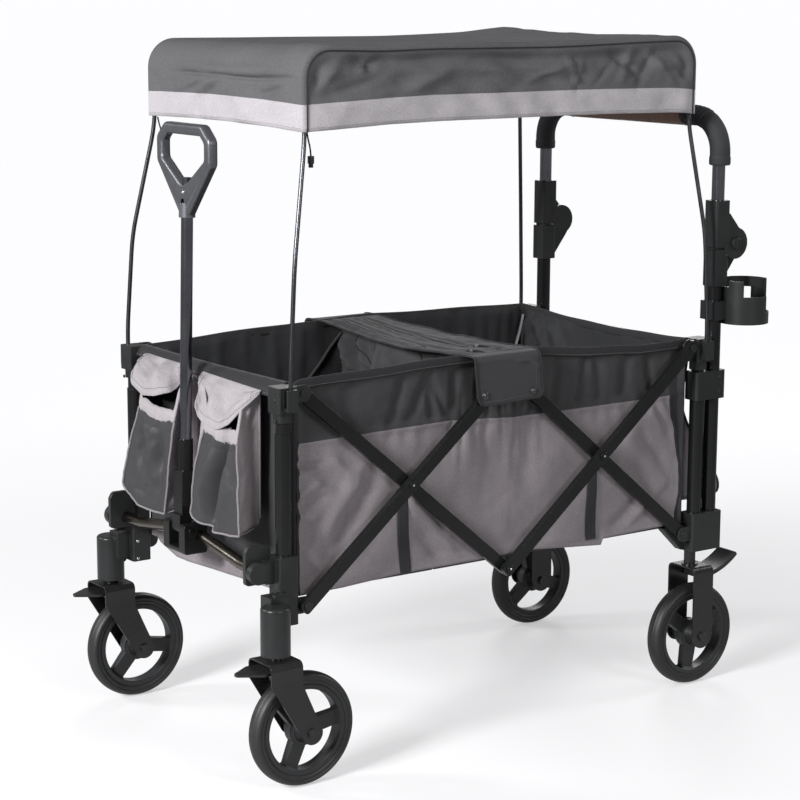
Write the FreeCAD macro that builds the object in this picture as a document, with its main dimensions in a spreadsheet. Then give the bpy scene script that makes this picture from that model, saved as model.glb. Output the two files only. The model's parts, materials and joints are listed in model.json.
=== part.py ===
import FreeCAD, Part
import Sketcher
import os, math, re

V = FreeCAD.Vector
Rot = FreeCAD.Rotation
Pl = FreeCAD.Placement

doc = FreeCAD.newDocument("pull_wagon")

# ---------------------------------------------------------------- driving sizes, mm
SIZES = [
    ("x_shift", -13.0),          # puts the middle of the overall length on X = 0
    ("wheel_radius", 90.0), ("tyre_inner", 72.0), ("tyre_width", 30.0), ("rim_width", 25.0),
    ("hub_radius", 17.0), ("hub_length", 58.0), ("axle_radius", 5.0),
    ("front_axle_x", -410.0), ("rear_axle_x", 427.0), ("front_wheel_y", 266.0), ("rear_wheel_y", 224.0),
    ("post_x", 420.0), ("post_y", 234.0), ("post_outer", 25.0), ("post_bore", 22.2), ("post_low", 250.0), ("post_top", 545.0),
    ("inner_outer", 21.6), ("inner_bore", 18.6), ("inner_low", 340.0), ("inner_top", 600.0),
    ("arm_width", 20.0), ("arm_thick", 10.0), ("arm_wall", 1.5), ("arm_hole", 3.08), ("pin_radius", 3.0),
    ("pivot_x", 389.0), ("pivot_low", 277.0), ("pivot_top", 606.0),
    ("outer_arm_y", 251.0), ("inner_arm_y", 237.0), ("ear_y", 244.0), ("ear_thick", 3.0),
    ("bracket_top", 618.0), ("bracket_low", 578.0), ("bracket_depth", 34.0),
    ("rail_radius", 7.0), ("low_rail_radius", 9.5), ("rail_bore", 5.5), ("low_rail_bore", 8.0),
    ("fork_thick", 2.5), ("fork_half", 33.5), ("front_fork_top", 208.0), ("rear_fork_top", 215.0),
    ("caster_x", -455.0), ("caster_radius", 23.0), ("caster_low", 214.0), ("caster_top", 290.0),
    ("push_x", 454.0), ("push_outer", 25.0), ("push_bore", 22.2), ("push_low", 262.0), ("push_top", 745.0),
    ("upper_tube", 22.0), ("upper_bore", 19.0), ("foam_outer", 35.0), ("bar_z", 993.0), ("bar_bend", 60.0),
    ("knuckle_x", 485.0), ("knuckle_z", 778.0), ("knuckle_radius", 27.0),
    ("cup_x", 508.0), ("cup_y", 250.0), ("cup_radius", 43.0), ("cup_wall", 3.0), ("cup_low", 640.0), ("cup_height", 75.0),
    ("pull_x", -459.0), ("pull_z", 352.0), ("pull_lean", 1.37), ("pull_outer", 24.0), ("pull_inner", 19.0),
    ("grip_depth", 18.0), ("grip_low", 857.0),
    ("canopy_front", -383.0), ("canopy_rear", 395.0), ("canopy_half", 236.0), ("canopy_low", 995.0), ("canopy_top", 1122.0),
    ("canopy_corner", 50.0), ("canopy_skin", 3.0), ("bow_radius", 3.5),
    ("tub_half_length", 400.0), ("tub_half_width", 229.5), ("tub_low", 293.0), ("tub_top", 624.0), ("tub_skin", 3.0),
    ("strap_width", 21.0), ("cord_radius", 1.25),
]
sheet = doc.addObject("Spreadsheet::Sheet", "Sizes")
for row, (alias, value) in enumerate(SIZES, 1):
    sheet.set("A%d" % row, alias)
    sheet.set("B%d" % row, "%g" % value)
    sheet.setAlias("B%d" % row, alias)
doc.recompute()
NAMES = {a for a, _ in SIZES}


def val(alias):
    return float(sheet.get(alias))


XS = val("x_shift")


def ex(text):
    return re.sub(r"[a-z][a-z_]*", lambda w: "Sizes." + w.group(0) if w.group(0) in NAMES else w.group(0), str(text))


def at(x, y, z):
    return V(x + XS, y, z)


count = [0]


def fresh(stem):
    count[0] += 1
    return "%s_%03d" % (stem, count[0])


AXES = {"x": Rot(V(0, 0, 1), V(1, 0, 0)), "y": Rot(V(0, 0, 1), V(0, 1, 0)), "z": Rot()}


def cyl(r, length, base, axis="z"):
    o = doc.addObject("Part::Cylinder", fresh("cyl"))
    o.setExpression("Radius", ex(r))
    o.setExpression("Height", ex(length))
    rot = AXES[axis] if isinstance(axis, str) else Rot(V(0, 0, 1), axis)
    o.Placement = Pl(at(*base), rot)
    return o


def box(lx, ly, lz, corner):
    o = doc.addObject("Part::Box", fresh("box"))
    o.setExpression("Length", ex(lx))
    o.setExpression("Width", ex(ly))
    o.setExpression("Height", ex(lz))
    o.Placement = Pl(at(*corner), Rot())
    return o


def slab(x0, x1, y0, y1, z0, z1):
    return box(x1 - x0, y1 - y0, z1 - z0, (x0, y0, z0))


def fuse(*parts):
    o = doc.addObject("Part::MultiFuse", fresh("fuse"))
    o.Shapes = list(parts)
    o.Refine = True
    return o


def cut(a, *tools):
    for t in tools:
        o = doc.addObject("Part::Cut", fresh("cut"))
        o.Base, o.Tool = a, t
        a = o
    return a


def common(a, b):
    o = doc.addObject("Part::Common", fresh("common"))
    o.Base, o.Tool = a, b
    return o


def mirrored(o, normal=(0, 1, 0)):
    m = doc.addObject("Part::Mirroring", fresh("mirror"))
    m.Source = o
    m.Base = V(0, 0, 0)
    m.Normal = V(*normal)
    return m


NODES = []


def node(label, *solids):
    if len(solids) == 1:
        o = solids[0]
    else:
        o = doc.addObject("Part::Compound", fresh("group"))
        o.Links = list(solids)
    o.Label = label
    NODES.append(o)
    return o


def pair(label, *solids):
    return node(label, *solids, *[mirrored(s) for s in solids])


def add_outline(sk, segs):
    # segs: closed loop of ("L", end) and ("A", through, end), starting where the last one ends
    p = segs[-1][-1]
    ends = []
    for s in segs:
        ends.append((1, 2))
        if s[0] == "L":
            sk.addGeometry(Part.LineSegment(V(p[0], p[1], 0), V(s[1][0], s[1][1], 0)), False)
        else:
            # an arc's own ends always run anticlockwise
            if (s[1][0] - p[0]) * (s[2][1] - p[1]) - (s[1][1] - p[1]) * (s[2][0] - p[0]) < 0:
                ends[-1] = (2, 1)
            sk.addGeometry(Part.Arc(V(p[0], p[1], 0), V(s[1][0], s[1][1], 0), V(s[2][0], s[2][1], 0)), False)
        p = s[-1]
    n = sk.GeometryCount
    first = n - len(segs)
    for k in range(len(segs)):
        sk.addConstraint(Sketcher.Constraint("Coincident", first + k, ends[k][1], first + (k + 1) % len(segs), ends[(k + 1) % len(segs)][0]))


def poly(points):
    return [("L", p) for p in points]


def rounded(points, radii):
    # closed polygon with each corner replaced by a tangent arc
    n = len(points)
    if not isinstance(radii, (list, tuple)):
        radii = [radii] * n
    segs = []
    for k in range(n):
        a, b, c = (V(points[k - 1][0], points[k - 1][1], 0), V(points[k][0], points[k][1], 0), V(points[(k + 1) % n][0], points[(k + 1) % n][1], 0))
        r = radii[k]
        if r <= 0:
            segs.append(("L", (b.x, b.y)))
            continue
        u, w = (a - b).normalize(), (c - b).normalize()
        half = u.getAngle(w) / 2
        t = r / math.tan(half)
        m = (u + w).normalize()
        centre = b + m * (r / math.sin(half))
        p1, p2, pm = b + u * t, b + w * t, centre - m * r
        segs.append(("L", (p1.x, p1.y)))
        segs.append(("A", (pm.x, pm.y), (p2.x, p2.y)))
    return segs


def prism(plane, outlines, lo, length):
    # a pad of closed outlines; lo is its low end along the plane's normal, length an expression.
    # XZ outlines are (x, z), YZ outlines (y, z), XY outlines (x, y), in the world frame
    body = doc.addObject("PartDesign::Body", fresh("body"))
    sk = body.newObject("Sketcher::SketchObject", fresh("sketch"))
    base = [f for f in body.Origin.OriginFeatures if f.Role == plane + "_Plane"][0]
    sk.AttachmentSupport = [(base, "")]
    sk.MapMode = "FlatFace"
    for segs in outlines:
        add_outline(sk, segs)
    pad = body.newObject("PartDesign::Pad", fresh("pad"))
    pad.Profile = sk
    pad.setExpression("Length", ex(length))
    body.Tip = pad
    doc.recompute()
    b = body.Shape.BoundBox
    move = {"XZ": V(XS, lo - b.YMin, 0), "YZ": V(lo + XS - b.XMin, 0, 0), "XY": V(XS, 0, lo - b.ZMin)}[plane]
    body.Placement = Pl(move, Rot())
    return body


def turned(profile):
    # solid of revolution about Y through the origin; profile is (radius, y)
    body = doc.addObject("PartDesign::Body", fresh("body"))
    sk = body.newObject("Sketcher::SketchObject", fresh("sketch"))
    base = [f for f in body.Origin.OriginFeatures if f.Role == "XY_Plane"][0]
    sk.AttachmentSupport = [(base, "")]
    sk.MapMode = "FlatFace"
    add_outline(sk, profile)
    rev = body.newObject("PartDesign::Revolution", fresh("turn"))
    rev.Profile = sk
    rev.ReferenceAxis = (sk, ["V_Axis"])
    rev.Angle = 360
    body.Tip = rev
    doc.recompute()
    return body, rev


def tube_path(points, radii):
    # straight runs joined by tangent arcs, as one wire
    pts = [at(*p) for p in points]
    edges, p = [], pts[0]
    for k in range(1, len(pts) - 1):
        a, b, c = pts[k - 1], pts[k], pts[k + 1]
        u, w = (a - b).normalize(), (c - b).normalize()
        half = u.getAngle(w) / 2
        t = radii[k - 1] / math.tan(half)
        m = (u + w).normalize()
        p1, p2 = b + u * t, b + w * t
        pm = b + m * (radii[k - 1] / math.sin(half)) - m * radii[k - 1]
        edges.append(Part.LineSegment(p, p1).toShape())
        edges.append(Part.Arc(p1, pm, p2).toShape())
        p = p2
    edges.append(Part.LineSegment(p, pts[-1]).toShape())
    return Part.Wire(edges)


def swept(points, radii, r, bore=0.0):
    wire = tube_path(points, radii)
    d = (wire.Edges[0].Vertexes[1].Point - wire.Edges[0].Vertexes[0].Point).normalize()
    start = at(*points[0])

    def sweep(rad):
        ring = Part.Wire([Part.Circle(start, d, rad).toShape()])
        return wire.makePipeShell([ring], True, False)
    s = sweep(r)
    if bore:
        s = s.cut(sweep(bore))
    o = doc.addObject("Part::Feature", fresh("sweep"))
    o.Shape = s
    want = math.pi * (r * r - bore * bore) * wire.Length
    got = s.Volume
    if abs(got / want - 1) > 0.01:
        raise RuntimeError("swept volume %.1f for %.1f" % (got, want))
    return o


def blended(o, r, pick=None):
    # rounds chosen edges of a piece
    doc.recompute()
    f = doc.addObject("Part::Fillet", fresh("round"))
    f.Base = o
    edges = [k + 1 for k, e in enumerate(o.Shape.Edges) if pick is None or pick(e)]
    f.Edges = [(k, r, r) for k in edges]
    doc.recompute()
    if f.Shape.isNull() or not f.Shape.isValid() or "Invalid" in f.State or "Error" in f.State:
        print("rounding skipped", o.Name)
        doc.removeObject(f.Name)
        return o
    return f


def along(axis):
    # edges parallel to an axis
    d = {"x": V(1, 0, 0), "y": V(0, 1, 0), "z": V(0, 0, 1)}[axis]

    def pick(e):
        if len(e.Vertexes) < 2 or not isinstance(e.Curve, Part.Line):
            return False
        w = (e.Vertexes[1].Point - e.Vertexes[0].Point).normalize()
        return abs(abs(w.dot(d)) - 1) < 1e-6
    return pick


# ---------------------------------------------------------------- wheels
WR, TI, TW = val("wheel_radius"), val("tyre_inner"), val("tyre_width")


def tyre(label, x, y):
    w = TW / 2
    prof = [("L", (TI, -w + 3)), ("L", (TI + 4, -w + 1)), ("L", (TI + 9, -w)), ("A", (WR, 0), (TI + 9, w)), ("L", (TI + 4, w - 1)), ("L", (TI, w - 3))]
    body, _ = turned(prof)
    body.Placement = Pl(at(x, y, WR), Rot())
    node(label, body)


def rim(label, x, y, lead):
    w, hl, hr = val("rim_width") / 2, val("hub_length") / 2, val("hub_radius")
    prof = [("L", (5.1, -hl)), ("L", (hr - 2, -hl)), ("L", (hr + 3, -10)), ("L", (24, -8)), ("L", (60, -6)), ("L", (65, -w)), ("L", (TI, -w)),
            ("L", (TI, w)), ("L", (65, w)), ("L", (60, 6)), ("L", (24, 8)), ("L", (hr + 3, 10)), ("L", (hr - 2, hl)), ("L", (5.1, hl))]
    body, rev = turned(prof)
    # one of three windows between broad spokes, then a pattern of three
    sk = body.newObject("Sketcher::SketchObject", fresh("sketch"))
    base = [f for f in body.Origin.OriginFeatures if f.Role == "XZ_Plane"][0]
    sk.AttachmentSupport = [(base, "")]
    sk.MapMode = "FlatFace"
    half, ro, ri = 12.0, 63.5, 26.0

    def on(r, spoke, side):
        a = math.asin(half / r)
        t = math.radians(spoke) + side * a
        return (r * math.cos(t), r * math.sin(t))
    s0, s1 = 30, 150
    mid = math.radians(90)
    a, b, c, d = on(ri, s0, 1), on(ro, s0, 1), on(ro, s1, -1), on(ri, s1, -1)
    add_outline(sk, [("L", b), ("A", (ro * math.cos(mid), ro * math.sin(mid)), c), ("L", d), ("A", (ri * math.cos(mid), ri * math.sin(mid)), a)])
    pocket = body.newObject("PartDesign::Pocket", fresh("window"))
    pocket.Profile = sk
    pocket.Type = 1
    pocket.Midplane = True
    doc.recompute()
    before = rev.Shape.Volume
    if not pocket.Shape.Volume < before - 100:
        raise RuntimeError("wheel window cuts nothing")
    pattern = body.newObject("PartDesign::PolarPattern", fresh("windows"))
    pattern.Originals = [pocket]
    pattern.Axis = (sk, ["N_Axis"])
    pattern.Angle = 360
    pattern.Occurrences = 3
    body.Tip = pattern
    doc.recompute()
    body.Placement = Pl(at(x, y, WR), Rot(V(0, 1, 0), lead))
    node(label, body)


FX, FY, RX, RY = val("front_axle_x"), val("front_wheel_y"), val("rear_axle_x"), val("rear_wheel_y")
for tag, x, y, lead in (("front_near", FX, -FY, 22), ("front_far", FX, FY, 40), ("rear_near", RX, -RY, 8), ("rear_far", RX, RY, 50)):
    tyre("tyre_" + tag, x, y)
    rim("rim_" + tag, x, y, lead)


# ---------------------------------------------------------------- bent-sheet forks with their axle bolts
def fork(x, y, x0, x1, xa, top, slant_z, stem_top, stem_r):
    fh, ft = val("fork_half"), val("fork_thick")
    outer = rounded([(y - fh, 60), (y + fh, 60), (y + fh, top), (y - fh, top)], [0, 0, 10, 10])
    inner = rounded([(y - fh + ft, 59), (y + fh - ft, 59), (y + fh - ft, top - ft), (y - fh + ft, top - ft)], [0, 0, 7.5, 7.5])
    rear = max(x1, xa + 18) + 5
    u = cut(prism("YZ", [outer], x0 - 5, rear - x0 + 5), prism("YZ", [inner], x0 - 6, rear - x0 + 7))
    # side outline: broad at the crown, tapering to a round end at the axle
    r, zc = 18.0, WR
    if abs((x0 + x1) / 2 - xa) > 10:
        side = [("L", (x1, top)), ("L", (x0, top)), ("L", (x0, slant_z)), ("L", (xa - r * 0.92, zc - 7)), ("A", (xa + 0.2 * r, zc - 0.98 * r), (xa + r, zc + 2)), ("L", (x1, slant_z - 6))]
    else:
        side = [("L", (x1, top)), ("L", (x0, top)), ("L", (x0, zc + 2)), ("A", ((x0 + x1) / 2, zc - (x1 - x0) / 2 + 2), (x1, zc + 2))]
    plate = prism("XZ", [side], y - fh - 5, 2 * fh + 10)
    f = common(u, plate)
    f = cut(f, cyl("axle_radius", 2 * fh + 10, (xa, y - fh - 5, zc), "y"))
    stem = cyl(stem_r, stem_top - top, (x, y, top))
    bolt = fuse(cyl("axle_radius", 2 * fh + 8, (xa, y - fh - 4, zc), "y"), cyl(8, 4, (xa, y - fh - 4, zc), "y"), cyl(8, 4, (xa, y + fh, zc), "y"))
    return fuse(f, stem), bolt


CX = val("caster_x")
for tag, y in (("near", -FY), ("far", FY)):
    f, bolt = fork(CX, y, CX - 28, CX + 28, FX, val("front_fork_top"), 176, val("caster_low") - 0.4, 13)
    f = fuse(f, cyl(6, 60, (CX, y, val("caster_low") - 2)))
    node("front_fork_" + tag, f, bolt)
f, bolt = fork(RX - 4, -RY, RX - 22.5, RX + 22.5, RX, val("rear_fork_top"), 190, 244, 10)
pair("rear_forks", fuse(f, cyl(14, 2.5, (RX - 4, -RY, val("rear_fork_top")))), bolt)


# brake levers: a pointed foot tab ahead of each front wheel, a dished paddle behind each rear one
def front_lever(label, y):
    outline = [(-526, y + 4), (-526, y - 4), (-492, y - 26), (-446, y - 26), (-446, y + 26), (-492, y + 26)]
    tab = prism("XY", [rounded(outline, [3, 3, 8, 6, 6, 8])], 192, 4)
    barrel = cyl(6, 52, (-470, y - 26, 190), "y")
    pad = slab(-462, -452, y - 9, y + 9, 174, 193)
    node(label, fuse(tab, barrel, pad))


front_lever("brake_lever_front_near", -FY)
front_lever("brake_lever_front_far", FY)


def rear_lever(label, y):
    side = [("L", (446, 198)), ("L", (446, 191)), ("L", (458, 195)), ("A", (482, 203), (515, 224)), ("L", (512, 229)), ("A", (478, 209), (454, 202))]
    blade = prism("XZ", [side], y - 23, 46)
    barrel = cyl(7, 56, (444, y - 28, 194), "y")
    node(label, fuse(blade, barrel))


rear_lever("brake_pedal_rear_near", -RY)
rear_lever("brake_pedal_rear_far", RY)

# ---------------------------------------------------------------- corner posts, feet, top brackets
PX, PY = val("post_x"), val("post_y")
LX, LZ, TZ = val("pivot_x"), val("pivot_low"), val("pivot_top")
EY = val("ear_y")


def post_tube(x, y):
    return cut(cyl("post_outer / 2", "post_top - post_low", (x, y, val("post_low"))), cyl("post_bore / 2", "post_top - post_low + 2", (x, y, val("post_low") - 1)))


def inner_post(x, y):
    return cut(cyl("inner_outer / 2", "inner_top - inner_low", (x, y, val("inner_low"))), cyl("inner_bore / 2", "inner_top - inner_low + 2", (x, y, val("inner_low") - 1)))


pair("rear_post_tubes", post_tube(PX, -PY))
pair("front_post_tubes", post_tube(-PX, -PY))
pair("rear_inner_posts", inner_post(PX, -PY))
pair("front_inner_posts", inner_post(-PX, -PY))


def ear(s, z, tail):
    # upright plate that carries one side arm, |y| about ear_y; tail is its depth toward the post
    r = 13.0
    pts = [("L", (s * (LX + 16), z + r)), ("L", (s * LX, z + r)), ("A", (s * (LX - r), z), (s * LX, z - r)), ("L", (s * (LX + 16), z - r))]
    return prism("XZ", [pts], -EY - val("ear_thick") / 2, "ear_thick")


def pin(s, z, near, far):
    # rivet through one arm and its ear, with a domed head outside
    return fuse(cyl("pin_radius", far - near, (s * LX, -far, z), "y"), cyl(7, 1.8, (s * LX, -far - 1.8 + 0.0, z), "y"))


def rivet(x, y, z, axis="y", r=3.2, t=1.6):
    return cyl(r, t, (x, y, z), axis)


def top_bracket(s):
    block = slab(s * PX - 17, s * PX + 17, -PY - 17, -PY + 17, val("bracket_low"), val("bracket_top"))
    block = blended(block, 4, along("z"))
    # sleeve on the outboard face that takes the foot of a canopy pole
    block = fuse(block, ear(s, TZ, 0), slab(s * PX - 9, s * PX + 9, -264, -250, 583, val("bracket_top") - 2), cyl(15.0, 14, (s * PX, -PY, val("bracket_low") - 14)))
    block = cut(block, cyl("inner_outer / 2", "inner_top - bracket_low + 15", (s * PX, -PY, val("bracket_low") - 15)))
    block = cut(block, cyl("rail_radius", 10, (s * 413, -PY + 10, 604), "y"))
    if s > 0:
        block = cut(block, cyl(4.1, 40, (418, -256, 588)))
    else:
        # the front sleeve is a clip, open to the front
        block = cut(block, cyl(4.1, 40, (-419, -256, 588)), slab(-440, -419, -260.1, -251.9, 588, 640))
    block = cut(block, cyl("arm_hole", 10, (s * LX, -EY - 5, TZ), "y"))
    return block


def rear_foot():
    # one housing holds the post, the push tube and the caster stem
    block = slab(PX - 17, 471, -PY - 17, -PY + 17, 244, 311)
    block = blended(block, 4, along("z"))
    gusset = prism("XZ", [poly([(352, 289), (404, 289), (404, 246), (396, 246)])], -231, 16)
    foot = fuse(block, ear(1, LZ, 0), gusset)
    foot = cut(foot, cyl("post_outer / 2", 64, (PX, -PY, val("post_low"))), cyl("push_outer / 2", 52, (val("push_x"), -PY, val("push_low"))))
    foot = cut(foot, cyl("arm_hole", 10, (LX, -EY - 5, LZ), "y"), cyl("low_rail_radius", 6, (PX - 6, -220.5, 288), "y"))
    return foot


# the front lower crossbar rises a little to the middle, where the pull handle hinges
FRONT_RAIL = [(-450, -222, 330), (-450, -160, 332), (-450, -40, 350), (-450, 40, 350), (-450, 160, 332), (-450, 222, 330)]
FRONT_RAIL_BENDS = [120, 120, 120, 120]


def front_foot():
    block = slab(-PX - 17, -PX + 17, -PY - 17, -PY + 17, 250, 357)
    block = blended(block, 4, along("z"))
    housing = cyl("caster_radius", "caster_top - caster_low", (CX, -FY, val("caster_low")))
    housing = cut(housing, cyl(6.06, 62, (CX, -FY, val("caster_low") - 1)))
    housing = blended(housing, 5, lambda e: e.Vertexes and abs(e.Vertexes[0].Point.z - val("caster_top")) < 0.1 and len(e.Vertexes) == 1)
    arm = fuse(slab(CX - 4, -PX - 6, -FY + 6, -PY + 4, 256, 300), prism("XZ", [rounded([(CX + 4, 243), (-PX - 16, 243), (-PX - 6, 256), (-PX - 6, 304), (CX + 4, 304)], [3, 8, 4, 3, 3])], -FY + 8, 8))
    # upright plates that hold the lower crossbar, and the round stop boss beside them
    plate = prism("XZ", [rounded([(-480, 314), (-436, 314), (-436, 368), (-450, 376), (-474, 376), (-480, 366)], [6, 0, 3, 5, 8, 4])], -222, 8)
    boss = cyl(17, 12, (-464, -236, 334), "y")
    web = slab(-452, -434, -236, -214, 316, 350)
    foot = fuse(block, housing, arm, ear(-1, LZ, 0), plate, boss, web)
    foot = cut(foot, cyl("post_outer / 2", 108, (-PX, -PY, val("post_low"))), cyl("arm_hole", 10, (-LX, -EY - 5, LZ), "y"))
    return cut(foot, swept(FRONT_RAIL, FRONT_RAIL_BENDS, val("low_rail_radius")))


pair("rear_feet", rear_foot(), pin(1, LZ, 232.2, 245.6))
pair("front_feet", front_foot(), fuse(cyl("pin_radius", 15.9, (-LX, -258.4, LZ), "y"), cyl(7, 1.8, (-LX, -258.2, LZ), "y")))
pair("rear_top_brackets", top_bracket(1), fuse(cyl("pin_radius", 15.9, (LX, -258.4, TZ), "y"), cyl(7, 1.8, (LX, -258.2, TZ), "y")))
pair("front_top_brackets", top_bracket(-1), pin(-1, TZ, 232.2, 245.6))


def cross_rail(label, x, z, r, bore, half):
    node(label, cut(cyl(r, 2 * half, (x, -half, z), "y"), cyl(bore, 2 * half + 2, (x, -half - 1, z), "y")))


cross_rail("rear_top_rail", 413, 604, "rail_radius", "rail_bore", 224)
cross_rail("front_top_rail", -413, 604, "rail_radius", "rail_bore", 224)
cross_rail("rear_lower_rail", PX - 6, 288, "low_rail_radius", "low_rail_bore", 220.5)
front_rail = swept(FRONT_RAIL, FRONT_RAIL_BENDS, val("low_rail_radius"), val("low_rail_bore"))
node("front_lower_rail", front_rail)

# ---------------------------------------------------------------- side arms (rectangular tube), four a side
AW = val("arm_width")


def arm(x0, z0, x1, z1, y, holes):
    dx, dz = x1 - x0, z1 - z0
    n = math.hypot(dx, dz)
    u, w = (dx / n, dz / n), (-dz / n, dx / n)
    e = 11.0

    def p(t, q):
        return (x0 + u[0] * t + w[0] * q, z0 + u[1] * t + w[1] * q)
    h = AW / 2
    out = rounded([p(-e, -h), p(n + e, -h), p(n + e, h), p(-e, h)], 6)
    outer = prism("XZ", [out], -y - val("arm_thick") / 2, "arm_thick")
    t = val("arm_wall")
    hollow = prism("XZ", [rounded([p(18, -h + t), p(n - 18, -h + t), p(n - 18, h - t), p(18, h - t)], 2)], -y - val("arm_thick") / 2 + t, "arm_thick - 2 * arm_wall")
    a = cut(outer, hollow)
    for hx, hz in holes:
        a = cut(a, cyl("arm_hole", "arm_thick + 2", (hx, -y - val("arm_thick") / 2 - 1, hz), "y"))
    return a


OY, IY = val("outer_arm_y"), val("inner_arm_y")
MX, MZ = LX / 2, (LZ + TZ) / 2


def joint_pin(x, z):
    # rivet through an outer and an inner arm with a spacer between them
    return fuse(cyl("pin_radius", 27, (x, -258.6, z), "y"), cyl(7, 2.2, (x, -258.4, z), "y"), cyl(8, 3.6, (x, -245.8, z), "y"), cyl(6, 0.0 + 0.8, (x, -231.8, z), "y"))


pair("side_arms_a", arm(-LX, TZ, 0, LZ, IY, [(-LX, TZ), (-MX, MZ), (0, LZ)]))
pair("side_arms_b", arm(-LX, LZ, 0, TZ, OY, [(-LX, LZ), (-MX, MZ), (0, TZ)]), joint_pin(-MX, MZ))
pair("side_arms_c", arm(0, LZ, LX, TZ, OY, [(0, LZ), (MX, MZ), (LX, TZ)]), joint_pin(0, LZ))
pair("side_arms_d", arm(0, TZ, LX, LZ, IY, [(0, TZ), (MX, MZ), (LX, LZ)]), joint_pin(MX, MZ), joint_pin(0, TZ))

# ---------------------------------------------------------------- push handle
UX = val("push_x")
pair("push_lower_tubes", cut(cyl("push_outer / 2", "push_top - push_low", (UX, -PY, val("push_low"))), cyl("push_bore / 2", "push_top - push_low + 2", (UX, -PY, val("push_low") - 1))))
clamp = blended(slab(PX - 16, 471, -PY - 16, -PY + 16, 511, 560), 5, along("z"))
clamp = cut(clamp, cyl("post_outer / 2", 36, (PX, -PY, 509)), cyl("post_bore / 2 + 0.1", 20, (PX, -PY, 544)), cyl("push_outer / 2", 52, (UX, -PY, 510)))
pair("push_clamps", fuse(clamp, rivet(UX + 2, -251.6, 524, "y", 3.2, 3), rivet(UX + 2, -251.6, 548, "y", 3.2, 3)))
KX, KZ = val("knuckle_x"), val("knuckle_z")
split = 236.3
low = fuse(blended(slab(UX - 16, UX + 16, -250, -218, 706, 768), 5, along("z")), prism("XZ", [rounded([(UX - 12, 712), (UX + 14, 712), (KX + 16, 756), (KX - 10, 768), (UX - 12, 768)], [0, 3, 3, 3, 3])], -split + 0.3, 14), cyl("knuckle_radius", 14, (KX, -split + 0.3, KZ), "y"))
low = cut(low, cyl("knuckle_radius + 0.6", 20, (KX, -split - 19.8, KZ), "y"), cyl("push_outer / 2", 40, (UX, -PY, 705)))
pair("push_knuckles_lower", low)
up = fuse(blended(slab(UX - 15, UX + 17, -250, -218, 772, 852), 5, along("z")), cyl("knuckle_radius", 13.5, (KX, -split - 13.5, KZ), "y"), prism("XZ", [rounded([(UX + 4, 772), (KX, 760), (KX + 14, 796), (UX + 16, 830), (UX + 4, 830)], [0, 4, 4, 3, 0])], -split - 13.5, 13))
up = cut(up, cyl("knuckle_radius + 0.6", 20, (KX, -split, KZ), "y"), cyl("upper_tube / 2", 60, (UX + 1, -PY, 800)), cyl(10.4, 9, (KX, -251.5, KZ), "y"))
pair("push_knuckles_upper", up)
button = fuse(cyl(10, 8, (KX, -254, KZ), "y"), slab(KX - 1.5, KX + 1.5, -255, -253, KZ - 8, KZ + 8))
node("knuckle_button_near", button)
node("knuckle_button_far", mirrored(button))
BZ, BR = val("bar_z"), val("bar_bend")
HX = UX + 1
bar = swept([(HX, -PY, 800), (HX, -PY, BZ), (HX, PY, BZ), (HX, PY, 800)], [BR, BR], val("upper_tube") / 2, val("upper_bore") / 2)
node("push_upper_tube", bar)
foam = swept([(HX, -PY, 912), (HX, -PY, BZ), (HX, -162, BZ)], [BR], val("foam_outer") / 2, val("upper_tube") / 2)
pair("handle_foam_bends", foam)
node("handle_grip", cut(cyl("foam_outer / 2 - 0.5", 323, (HX, -161.5, BZ), "y"), cyl("upper_tube / 2", 330, (HX, -165, BZ), "y")))

# cup holder: open-sided ring clipped to the near push tube
QX, QY, QZ, QR = val("cup_x"), val("cup_y"), val("cup_low"), val("cup_radius")
cup = cut(cyl("cup_radius", "cup_height", (QX, -QY, QZ)), cyl("cup_radius - cup_wall", "cup_height + 2", (QX, -QY, QZ + 3)), cyl("cup_radius - 14", 10, (QX, -QY, QZ - 3)))
# the near wall stands lower than the far one; a strap at the rear joins the base to the upper ring
cup = cut(cup, slab(QX - 30, QX + 30, -QY - 60, -QY - 12, QZ + 48, QZ + 90), slab(QX + 14, QX + 60, -QY - 60, -QY - 12, QZ + 20, QZ + 90))
cup = cut(cup, slab(QX - 10, QX + 37, -QY + 6, -QY + 60, QZ + 24, QZ + 57))
clip = cut(slab(UX - 16.5, UX + 20, -252, -217, QZ + 8, QZ + 40), cyl("push_outer / 2", 60, (UX, -PY, QZ)), cyl("cup_radius - cup_wall", "cup_height + 2", (QX, -QY, QZ + 3)))
cup = cut(cup, slab(430, 472.5, -256, -212, 704, 720))
node("cup_holder", fuse(cup, clip))

# ---------------------------------------------------------------- pull handle (leans a little to the rear)
HP = val("pull_x"), val("pull_z")
lean = math.radians(val("pull_lean"))
dirn = V(math.sin(lean), 0, math.cos(lean))


def on_pull(dz):
    return (HP[0] + dirn.x * dz, 0.0, HP[1] + dirn.z * dz)


def pull_slab(dx0, dx1, y0, y1, d0, d1):
    o = box(dx1 - dx0, y1 - y0, d1 - d0, (0, 0, 0))
    b = on_pull(d0)
    rot = Rot(V(0, 1, 0), val("pull_lean"))
    o.Placement = Pl(at(*b) + rot.multVec(V(dx0, y0, 0)), rot)
    return o


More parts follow.
